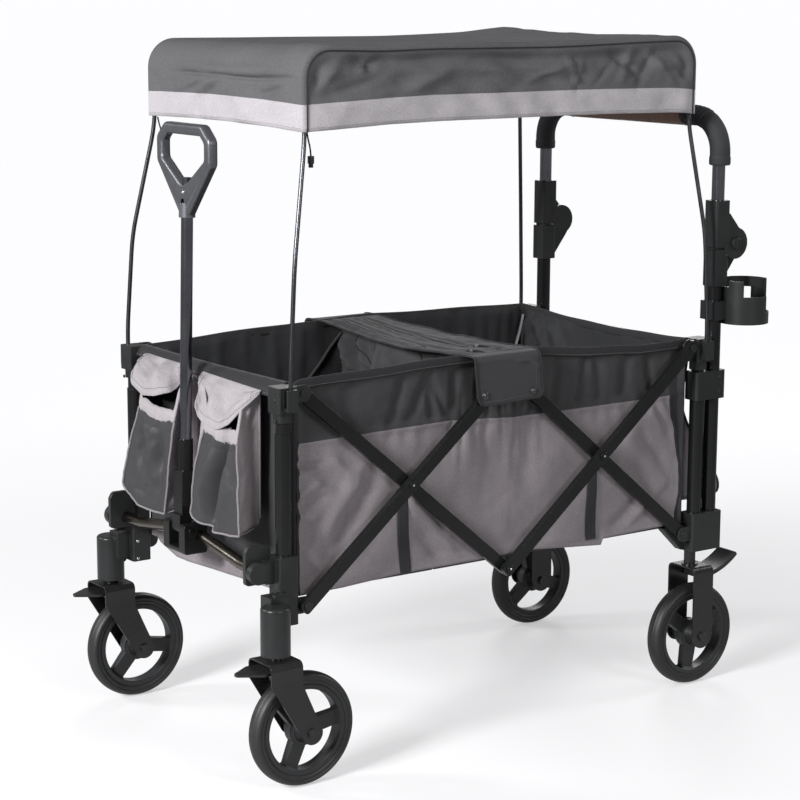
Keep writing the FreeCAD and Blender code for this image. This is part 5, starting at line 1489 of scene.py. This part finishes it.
def build_pocket(tag, face, back_, nG, pinch, seed):
    nF, nJ = face.shape[:2]
    cols_ = [face[i] for i in range(nF)]
    kinds = ["face"] * nF
    for k in range(1, nG):
        w = k / nG
        c = face[-1] * (1 - w) + back_[-1] * w
        t = np.linspace(0, 1, nJ)
        fold = pinch[1] * np.sin(math.pi * w) ** 1.2 * (0.35 + 0.65 * np.sin(math.pi * np.clip(t * 1.05, 0, 1)) ** 0.7)
        rise = (w**0.55 - w) * (back_[-1, -1, 2] - face[-1, -1, 2])
        c = c + np.stack([0 * t, fold + fbm(t * 5, w * 2.5, 0, seed + 5) * 6.0 * math.sin(math.pi * w) + noise(t * 13, w * 4, 0, seed + 6) * 2.0 * math.sin(math.pi * w), rise * t**2], 1)
        cols_.append(c)
        kinds.append("right")
    for i in range(nF - 1, -1, -1):
        cols_.append(back_[i])
        kinds.append("back")
    for k in range(1, nG):
        w = k / nG
        c = back_[0] * (1 - w) + face[0] * w
        t = np.linspace(0, 1, nJ)
        fold = pinch[0] * np.sin(math.pi * w) ** 1.2
        rise = ((1 - w) ** 0.55 - (1 - w)) * (back_[0, -1, 2] - face[0, -1, 2])
        c = c + np.stack([0 * t, fold + fbm(t * 5, w * 2.5, 0, seed + 8) * 4.0 * math.sin(math.pi * w), rise * t**2], 1)
        cols_.append(c)
        kinds.append("left")
    kinds.append("left")
    ring = np.array(cols_)
    mats = [MAT["pocket"], MAT["gusset"], MAT["charcoal"], MAT["ribbed"]]

    def which(i, j):
        k = kinds[i]
        if k == "face" and i < nF - 1:
            return 3 if j >= nJ - 5 else 0
        return 2 if k == "back" and i < len(kinds) - 1 - (nG - 1) else 1

    shell = grid(f"pocket_{tag}", ring, mats, mat_of=which, thick=0, close_u=True)
    bottom = np.zeros((nF, 10, 3))
    for i in range(nF):
        for k in range(10):
            w = k / 9
            bottom[i, k] = face[i, 0] * (1 - w) + back_[i, 0] * w + np.array([0, 0, -3.0 * math.sin(math.pi * w)])
    floor_ = grid(f"pocket_{tag}_b", bottom, mats, mat_of=lambda i, j: 1, thick=0)
    bag = joined(f"pocket_{tag}", shell, floor_)
    welded(bag, 0.2)
    applied(bag, ("SOLIDIFY", {"thickness": 0.0011, "offset": -1.0, "use_even_offset": False, "use_rim": True}))
    front(bag, "fabric_charcoal")
    off = np.array([-0.9, 0, 0])
    u_line = np.vstack([face[0, ::-1] + (-0.5, 0.5, 0), face[1:-1, 0] + (-0.3, 0, -0.6), face[-1] + (-0.5, -0.5, 0)])
    front(tube(f"pocket_{tag}_piping", u_line[::2], 1.9, [MAT["pale_binding"]], sides=8, step=5), "fabric_charcoal")
    back_line = np.vstack([back_[-1, ::-1]])
    back_line = back_line + (-0.6, -1.2, 0)
    front(tube(f"pocket_{tag}_back_piping", back_line[::3], 2.2, [MAT["pale_binding"]], sides=8, step=6), "fabric_charcoal")
    left_line = back_[0, ::-1] + (-0.6, 1.2, 0)
    front(tube(f"pocket_{tag}_left_piping", left_line[::3], 1.8, [MAT["pale_binding"]], sides=8, step=6), "fabric_charcoal")
    for q, f in enumerate((nJ - 6, nJ - 2)):
        line = face[1:-1, f] + off
        front(stitches(f"pocket_{tag}_stitch_{q}", line, MAT["dark_stitch"], "front_top", lift=(-1, 0, 0), r=0.3), "fabric_charcoal")
    # pale lining that stands above the front hem and runs up both gusset edges
    lip_pts = []
    path_ = [face[i, -1] for i in range(nF)]
    gusR = [ring[nF + k, -1] for k in range(0, nG - 2)]
    gusL = [ring[len(ring) - 1 - k, -1] for k in range(0, nG - 2)]
    whole = curve_points((gusL[::-1] + path_ + gusR)[::3], 3.0)
    n = len(whole)
    lip = np.zeros((n, 7, 3))
    mid = np.array([-440.0, float(np.mean(whole[:, 1])), 0.0])
    for i, p in enumerate(whole):
        s_ = i / (n - 1)
        inw = mid - p
        inw[2] = 0.0
        inw /= np.linalg.norm(inw)
        high = 3.0 + 20.0 * math.sin(math.pi * s_) ** 0.4 + 2.0 * float(noise(s_ * 7, 0, 0, seed + 9))
        for k in range(7):
            w = k / 6
            lip[i, k] = p + inw * (1.2 + 4.5 * w - 3.4 * math.sin(math.pi * w)) + np.array([0, 0, -2.5 + high * w])
    lip_o = grid(f"pocket_{tag}_lip", lip, [MAT["pale"]], thick=1.4)
    front(lip_o, "fabric_charcoal")
    return bag


def near_depth(u, t):
    belly = math.sin(math.pi * min(1.0, (1 - t) * 1.1 + 0.05)) ** 0.8
    x = -466 - 7.0 * belly * math.sin(math.pi * min(1, 0.1 + 0.9 * u)) - 3 * (1 - t)
    valley = 0.36 + 0.30 * t
    edge_ = math.sin(math.pi * min(1.0, max(0.0, 0.06 + u * 0.9))) ** 0.5
    tall = math.sin(math.pi * min(1.0, 0.12 + t * 0.80)) ** 0.7
    x += 25.0 * math.exp(-(((u - valley) / 0.085) ** 2)) * tall * edge_
    x -= 12.0 * math.exp(-(((u - valley + 0.23) / 0.11) ** 2)) * tall * edge_
    x -= 6.0 * math.exp(-(((u - valley - 0.20) / 0.09) ** 2)) * tall * edge_
    x += 4.0 * math.exp(-(((u - 0.16) / 0.05) ** 2) - (((t - 0.28) / 0.2) ** 2)) - 5.0 * math.exp(-(((u - 0.62) / 0.1) ** 2) - (((t - 0.16) / 0.10) ** 2))
    x += float(fbm(u * 2.6, t * 2.2, 0, 141)) * 5.0 * edge_ + float(fbm(u * 8, t * 7, 0, 142)) * 1.6
    return x


def far_depth(u, t):
    belly = math.sin(math.pi * min(1.0, (1 - t) * 1.1 + 0.05)) ** 0.8
    x = -471 - 6.0 * belly * math.sin(math.pi * min(1, 0.1 + 0.9 * u)) - 3 * (1 - t)
    edge_ = math.sin(math.pi * min(1.0, max(0.0, 0.06 + u * 0.9))) ** 0.5
    x -= 9.0 * math.exp(-(((u - 0.50 - 0.14 * (t - 0.5)) / 0.13) ** 2) - (((t - 0.50) / 0.26) ** 2))
    x += 17.0 * math.exp(-(((u - 0.26 + 0.25 * (t - 0.5)) / 0.08) ** 2) - (((t - 0.62) / 0.26) ** 2)) * edge_
    x += 17.0 * math.exp(-(((u - 0.76 + 0.22 * (t - 0.5)) / 0.085) ** 2) - (((t - 0.56) / 0.30) ** 2)) * edge_
    x += 6.0 * math.exp(-(((u - 0.50) / 0.30) ** 2) - (((t - 0.20 - 0.25 * (u - 0.5)) / 0.06) ** 2)) - 4.0 * math.exp(-(((u - 0.45) / 0.3) ** 2) - (((t - 0.86) / 0.05) ** 2))
    x += float(fbm(u * 2.6, t * 2.2, 0, 151)) * 4.6 * edge_ + float(fbm(u * 8, t * 7, 0, 152)) * 1.6
    return x


face, back_, nG = pocket_bag(
    "near",
    lambda t: np.interp(t, [0, 0.6, 1], [-38, -56, -80]),
    lambda t: np.interp(t, [0, 0.65, 1], [-186.5, -180, -177]),
    lambda t: np.interp(t, [0, 1], [-14, -4]),
    lambda t: np.interp(t, [0, 1], [-163, -166]),
    lambda u: np.interp(u, [0, 0.25, 0.55, 0.8, 1], [531, 526, 520.5, 522, 527]),
    lambda u: np.interp(u, [0, 0.2, 0.5, 0.8, 1], [390, 383, 377, 379, 384]),
    near_depth, 141, False)
pocket_near = build_pocket("near", face, back_, nG, (7.0, 9.0), 160)
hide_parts("front_pockets")
face_f, back_f, nG = pocket_bag(
    "far",
    lambda t: np.interp(t, [0, 0.5, 1], [178, 152, 120]),
    lambda t: np.interp(t, [0, 0.5, 1], [39, 23, 8]),
    lambda t: np.interp(t, [0, 1], [186, 182]),
    lambda t: np.interp(t, [0, 1], [24, 12]),
    lambda u: np.interp(u, [0, 0.3, 0.6, 1], [537, 526, 525, 532]),
    lambda u: np.interp(u, [0, 0.15, 0.4, 0.75, 1], [398, 386, 373, 372, 375]),
    far_depth, 151, False)
build_pocket("far", face_f, back_f, nG, (-7.0, 8.0), 170)


def pocket_flap(tag, rim, low, arch, seed, ridge):
    nU, nV_ = 44, 34
    pts = np.zeros((nU, nV_, 3))
    lows = np.array([q for q in low], float)
    fr = lows[:, 0]
    for i in range(nU):
        u = i / (nU - 1)
        a = np.array([rim[0][0] * (1 - u) + rim[1][0] * u, rim[0][1] * (1 - u) + rim[1][1] * u, rim[0][2] * (1 - u) + rim[1][2] * u])
        b = np.array([np.interp(u, fr, lows[:, 1]), np.interp(u, fr, lows[:, 2]), np.interp(u, fr, lows[:, 3])])
        for j in range(nV_):
            v = j / (nV_ - 1)
            p = a * (1 - v) + b * v
            bulge = arch * math.sin(math.pi * v) ** 0.9 * (0.35 + 0.65 * math.sin(math.pi * u))
            p = p + np.array([-bulge * 0.75, 0, bulge * 0.65])
            f = 1.7 * ridge(u, v) + float(fbm(u * 2.8, v * 2.4, 0, seed)) * 5.0 * math.sin(math.pi * min(1, v * 0.95)) + float(fbm(u * 7, v * 6, 0, seed + 2)) * 1.8
            f *= min(1.0, v * 5)
            p = p + np.array([-f * 0.8, 0, f * 0.5])
            pts[i, j] = p
    flap = grid(f"flap_{tag}", pts, [MAT["pale"]], thick=0)
    applied(flap, ("SUBSURF", {"levels": 1, "render_levels": 1}))
    applied(flap, ("SOLIDIFY", {"thickness": 0.0013, "offset": 0.0, "use_even_offset": False, "use_rim": True}))
    front(flap, "fabric_charcoal")
    edge_ = np.vstack([pts[0, 2:], pts[1:-1, -1], pts[-1, :1:-1]])
    front(tube(f"flap_{tag}_edge", edge_[::2], 1.5, [MAT["pale"]], sides=8, step=4), "fabric_charcoal")
    seam = np.vstack([pts[3, 3:-4], pts[4:-4, -5], pts[-4, -5:2:-1]]) + (-1.0, 0, 0.7)
    front(stitches(f"flap_{tag}_stitch", seam, MAT["dark_stitch"], "front_top", lift=(-0.8, 0, 0.6), r=0.38), "fabric_charcoal")
    return pts


pocket_flap(
    "near", ((-423.6, -3, 607.5), (-423.6, -180, 603.5)),
    [(0, -452, -38, 582), (0.10, -466, -49, 566), (0.2, -469, -57, 553), (0.34, -470, -80, 544.5), (0.55, -470, -122, 539.5), (0.72, -466, -150, 553), (0.86, -452, -168, 576), (1.0, -427, -178, 600)],
    7.0, 180,
    lambda u, v: 5.0 * math.exp(-(((u - 0.34 - 0.12 * v) / 0.07) ** 2)) * math.sin(math.pi * v) - 6.0 * math.exp(-(((u - 0.58) / 0.14) ** 2) - ((v - 0.6) / 0.3) ** 2) - 3.0 * math.exp(-(((u - 0.2) / 0.08) ** 2)) * v)
pocket_flap(
    "far", ((-423.6, 178, 611.5), (-423.6, 56, 610.0)),
    [(0, -452, 163, 601), (0.12, -470, 150, 589), (0.24, -474, 144, 573), (0.42, -475, 104, 559.5), (0.60, -474, 67, 563.5), (0.76, -462, 44, 572), (0.9, -442, 48, 583), (1.0, -428, 52, 592)],
    10.0, 190,
    lambda u, v: -6.0 * math.exp(-(((u - 0.42) / 0.11) ** 2)) * (1 - v) * 1.4 + 5.0 * math.exp(-(((u - 0.62) / 0.12) ** 2)) * math.sin(math.pi * v) - 4.0 * math.exp(-(((u - 0.85) / 0.1) ** 2)) * v)

# ---------------------------------------------------------------- rear pocket
prof_out = curve_points([(430, 0, 584), (424, 0, 545), (418, 0, 500), (436, 0, 455), (470, 0, 405), (500, 0, 366), (510, 0, 345), (508, 0, 331), (490, 0, 325)], 8)
nO = len(prof_out)
ry = np.linspace(-198, 198, 66)
out_face = np.zeros((len(ry), nO, 3))
in_face = np.zeros((len(ry), nO, 3))
for i, y in enumerate(ry):
    e = min(1.0, (198 - abs(y)) / 10.0)
    for j, p in enumerate(prof_out[::-1]):
        s_ = j / (nO - 1)
        d = float(fbm(y / 70.0, p[2] / 50.0, 0, 201)) * 5 + float(fbm(y / 24.0, p[2] / 26.0, 0, 203)) * 1.6
        out_face[i, j] = (p[0] + (d - 4) * e * math.sin(math.pi * min(1, 0.15 + s_ * 0.8)), y, p[2] - 2.5 * math.sin(math.pi * (y + 198) / 396) * s_**2)
        in_face[i, j] = (406.0, y, 326 + (584 - 326) * s_)
cols_ = [out_face[i] for i in range(len(ry))]
kind_ = ["face"] * len(ry)
for k in range(1, 10):
    cols_.append(out_face[-1] * (1 - k / 10) + in_face[-1] * (k / 10) + np.array([0, -3.0 * math.sin(math.pi * k / 10), 0]))
    kind_.append("side")
for i in range(len(ry) - 1, -1, -1):
    cols_.append(in_face[i])
    kind_.append("back")
for k in range(1, 10):
    cols_.append(in_face[0] * (1 - k / 10) + out_face[0] * (k / 10) + np.array([0, 3.0 * math.sin(math.pi * k / 10), 0]))
    kind_.append("side")
ring = np.array(cols_)
rp = grid("rear_pocket_cloth", ring, [MAT["grey"], MAT["pocket"], MAT["charcoal"]], mat_of=lambda i, j: (2 if j >= nO - 4 else 0) if kind_[i] == "face" else (0 if kind_[i] == "side" else 2), thick=0, close_u=True, flip=True)
low_panel = np.zeros((len(ry), 8, 3))
for i in range(len(ry)):
    for k in range(8):
        low_panel[i, k] = out_face[i, 0] * (1 - k / 7) + in_face[i, 0] * (k / 7) + np.array([0, 0, -2 * math.sin(math.pi * k / 7)])
rb = grid("rear_pocket_b", low_panel, [MAT["grey"]], thick=0)
rp = joined("rear_pocket_cloth", rp, rb)
welded(rp, 0.2)
applied(rp, ("SOLIDIFY", {"thickness": 0.0012, "offset": -1.0, "use_even_offset": False, "use_rim": True}))
body(rp, "rear_top", ["rear_pocket"])
for tag, col in (("near", 0), ("far", -1)):
    body(tube(f"rear_pocket_piping_{tag}", out_face[col][::2], 2.0, [MAT["binding"]], sides=8, step=6), "rear_top")
hem = out_face[:, -4] + (1.0, 0, 0)
body(stitches("rear_pocket_stitch", hem, MAT["stitch"], "rear_top", lift=(1, 0, 0)), "rear_top")
hem = out_face[:, -1]
body(tube("rear_pocket_hem", hem[::3], 1.8, [MAT["binding"]], sides=8, step=6), "rear_top")



# ---------------------------------------------------------------- push handle: foam over both bends, leather grip between
HX, HYC, HZ = 455.0, 236.0, 993.0
FOAM_R, BEND = 17.5, 60.0


for tag, s in (("near", -1), ("far", 1)):
    zs = HZ - BEND
    line = [(HX, s * HYC, z) for z in np.arange(912.0, zs, 3.0)]
    line += [(HX, s * (HYC - BEND + BEND * math.cos(a)), zs + BEND * math.sin(a)) for a in np.linspace(0, math.pi / 2, 30)]
    line += [(HX, s * y, HZ) for y in np.arange(HYC - BEND - 3.0, 161.5, -3.0)]
    line = np.array(line)

    def foam_ring(i, dist, total, seed=210 + s):
        a = dist[i]
        end = min(a, total - a)
        r = FOAM_R
        if a < 3.0:
            r -= 1.6 * (1 - a / 3.0) ** 2
        # moulded ribs where the bend meets the grip
        b = total - a
        if b < 46:
            r += -0.9 + 1.3 * math.sin(b * 2 * math.pi / 7.0) * smooth(46, 40, b)
        if a < 16:
            r += 0.9 * float(smooth(16, 12, a))
        r = r + float(noise(a / 18.0, 0, 0, seed)) * 0.22
        return circle(r, 28)

    fine = []
    for k in range(len(line) - 1):
        for f in (0, 0.5):
            fine.append(line[k] * (1 - f) + line[k + 1] * f)
    fine.append(line[-1])
    fine = np.array(fine)
    dist2 = np.concatenate([[0], np.cumsum(np.linalg.norm(np.diff(fine, axis=0), axis=1))])
    o = sweep(f"handle_foam_{tag}", fine, lambda i, d=dist2: foam_ring(i, d, d[-1]), [MAT["foam"]])
    body(o, "push_handle", ["handle_foam_bends"] if s < 0 else [])

grip_y = np.linspace(-160.5, 160.5, 150)


def grip_ring(i):
    y = grip_y[i]
    e = 160.5 - abs(y)
    r = 17.6 + 0.5 * float(noise(y / 40.0, 0, 0, 221)) * 0.5
    if e < 12:
        r += 0.9 - 0.8 * float(smooth(6, 0, e))
    w = np.arange(40) * 2 * math.pi / 40
    rr = r + 0.22 * np.array([float(noise(y / 9.0, math.cos(q) * 1.6, math.sin(q) * 1.6, 223)) for q in w])
    # the sewn seam runs along the under side
    seam_at = -math.pi / 2 - 0.35
    dw = np.abs((w - seam_at + math.pi) % (2 * math.pi) - math.pi)
    rr = rr - 0.9 * np.exp(-((dw / 0.07) ** 2)) + 0.5 * np.exp(-(((dw - 0.18) / 0.10) ** 2))
    return np.stack([rr * np.sin(w), rr * np.cos(w)], 1)


grip_path = [(HX, y, HZ) for y in grip_y]
grip = sweep("leather_grip", grip_path, grip_ring, [MAT["leather"], MAT["plastic"]], up=(0, 0, 1), mat_of=lambda i, j: 1 if (i < 5 or i > 143) else 0)
body(outward(grip), "push_handle", ["handle_grip"])
for k, da in enumerate((-0.17, 0.17)):
    a = -math.pi / 2 - 0.35 + da
    line = [(HX + 18.3 * math.cos(a), y, HZ + 18.3 * math.sin(a)) for y in np.linspace(-146, 146, 60)]
    body(stitches(f"grip_seam_{k}", line, MAT["tan_stitch"], "push_handle", lift=(math.cos(a), 0, math.sin(a)), r=0.42), "push_handle")

# ---------------------------------------------------------------- tyres with moulded grooves
half_profile = [(72.0, 11.6), (73.4, 12.9), (76.0, 13.7), (78.2, 14.1), (78.8, 13.5), (79.6, 13.6), (80.2, 14.5), (82.2, 14.9), (84.2, 14.3), (86.0, 12.9), (87.6, 10.7), (88.7, 8.2), (89.45, 5.4), (89.6, 5.0), (89.2, 4.7), (89.2, 4.3), (89.75, 4.0), (89.95, 2.0)]
tyre_profile = [(r, -a) for r, a in half_profile] + [(90.0, 0.0)] + half_profile[::-1] + [(71.9, 9.0), (71.9, -9.0)]
for end, wx, wy in (("front", -410.0, 266.0), ("rear", 427.0, 224.0)):
    for tag, s in (("near", -1), ("far", 1)):
        t_ = lathe(f"tyre_{end}_{tag}_moulded", tyre_profile, [MAT["tyre"]], (wx, s * wy, 90.0), axis="y", n=112)
        body(outward(t_), f"wheel_{end}_{tag}", [f"tyre_{end}_{tag}"])

# ---------------------------------------------------------------- screw and rivet heads
def head(at, axis, r=2.6, high=1.2, slot=True):
    """A domed head at a point, facing along axis."""
    n = Vector(axis).normalized()
    a = n.orthogonal().normalized()
    b = n.cross(a)
    prof = [(0.01, high), (r * 0.25, high), (r * 0.32, high * 0.55), (r * 0.5, high * 0.6), (r * 0.62, high * 0.92), (r * 0.86, high * 0.62), (r, 0.05), (r, -0.6)]
    verts, faces = [], []
    for rr, h in prof:
        for k in range(16):
            w = k * math.pi / 8
            verts.append(np.array(at) + np.array(a) * rr * math.cos(w) + np.array(b) * rr * math.sin(w) + np.array(n) * h)
    for q in range(len(prof) - 1):
        for k in range(16):
            k2 = (k + 1) % 16
            faces.append([q * 16 + k, (q + 1) * 16 + k, (q + 1) * 16 + k2, q * 16 + k2])
    return verts, faces


def heads(name, spots, mat, owner, r=2.6, high=1.2):
    verts, faces = [], []
    for at, axis in spots:
        v, f = head(at, axis, r, high)
        base = len(verts)
        verts += v
        faces += [[i + base for i in g] for g in f]
    return body(outward(new_mesh(name, verts, faces, [mat])), owner)



# rivets and screws on the front feet, and screws on the brackets
foot_owner = body_of(NODES["front_feet"])[0]
spots = []
for sign in (-1, 1):
    inner = -sign * 1.0
    for x, z in ((-428.0, 285.0), (-428.0, 255.0)):
        spots.append(((x, sign * 216.8, z), (0, inner, 0)))
heads("front_foot_rivets", spots, MAT["rivet"], foot_owner, r=3.0, high=1.3)
spots = [((-437.3, sign * 234.0, z), (-1, 0, 0)) for sign in (-1, 1) for z in (276.0, 300.0)]
heads("front_foot_screws", spots, MAT["fork"], foot_owner, r=3.0, high=1.0)
bracket_owner = body_of(NODES["front_top_brackets"])[0]
spots = [((-437.2, sign * 238.0, z), (-1, 0, 0)) for sign in (-1, 1) for z in (566.0, 598.0)]
heads("front_bracket_screws", spots, MAT["fork"], bracket_owner, r=3.0, high=1.0)

# bright rivets: arm crossings, bottom hubs and the pull grip
for part_name, x, z in (("side_arms_b", -194.50, 441.50), ("side_arms_d", 194.50, 441.50), ("side_arms_c", 0.0, 277.00)):
    spots = [((x, sign * 258.55, z), (0, sign, 0)) for sign in (-1, 1)]
    heads(part_name + "_rivets", spots, MAT["rivet"], body_of(NODES[part_name])[0], r=1.9, high=0.7)
spots = [((-455.0, -2.0, 873.0), (-1, 0, 0)), ((-455.0, -2.0, 893.0), (-1, 0, 0))]
heads("pull_grip_rivets", spots, MAT["rivet"], body_of(NODES["pull_grip"])[0], r=3.4, high=1.2)

# collar between the two halves of each handle knuckle
knuckle_owner = body_of(NODES["push_knuckles_lower"])[0]
for sign, tag in ((-1, "near"), (1, "far")):
    verts, faces = [], []
    ux = 454.5
    for z in (767.0, 771.4):
        for k in range(24):
            a = k * math.pi / 12
            verts.append((ux + 13.2 * math.copysign(abs(math.cos(a)) ** 0.45, math.cos(a)), sign * 234.0 + 13.2 * math.copysign(abs(math.sin(a)) ** 0.45, math.sin(a)), z))
    for k in range(24):
        k2 = (k + 1) % 24
        faces.append([k, k2, 24 + k2, 24 + k])
    faces.append(list(range(24, 48)))
    faces.append(list(range(23, -1, -1)))
    body(outward(new_mesh(f"knuckle_collar_{tag}", verts, faces, [MAT["plastic"]])), knuckle_owner)
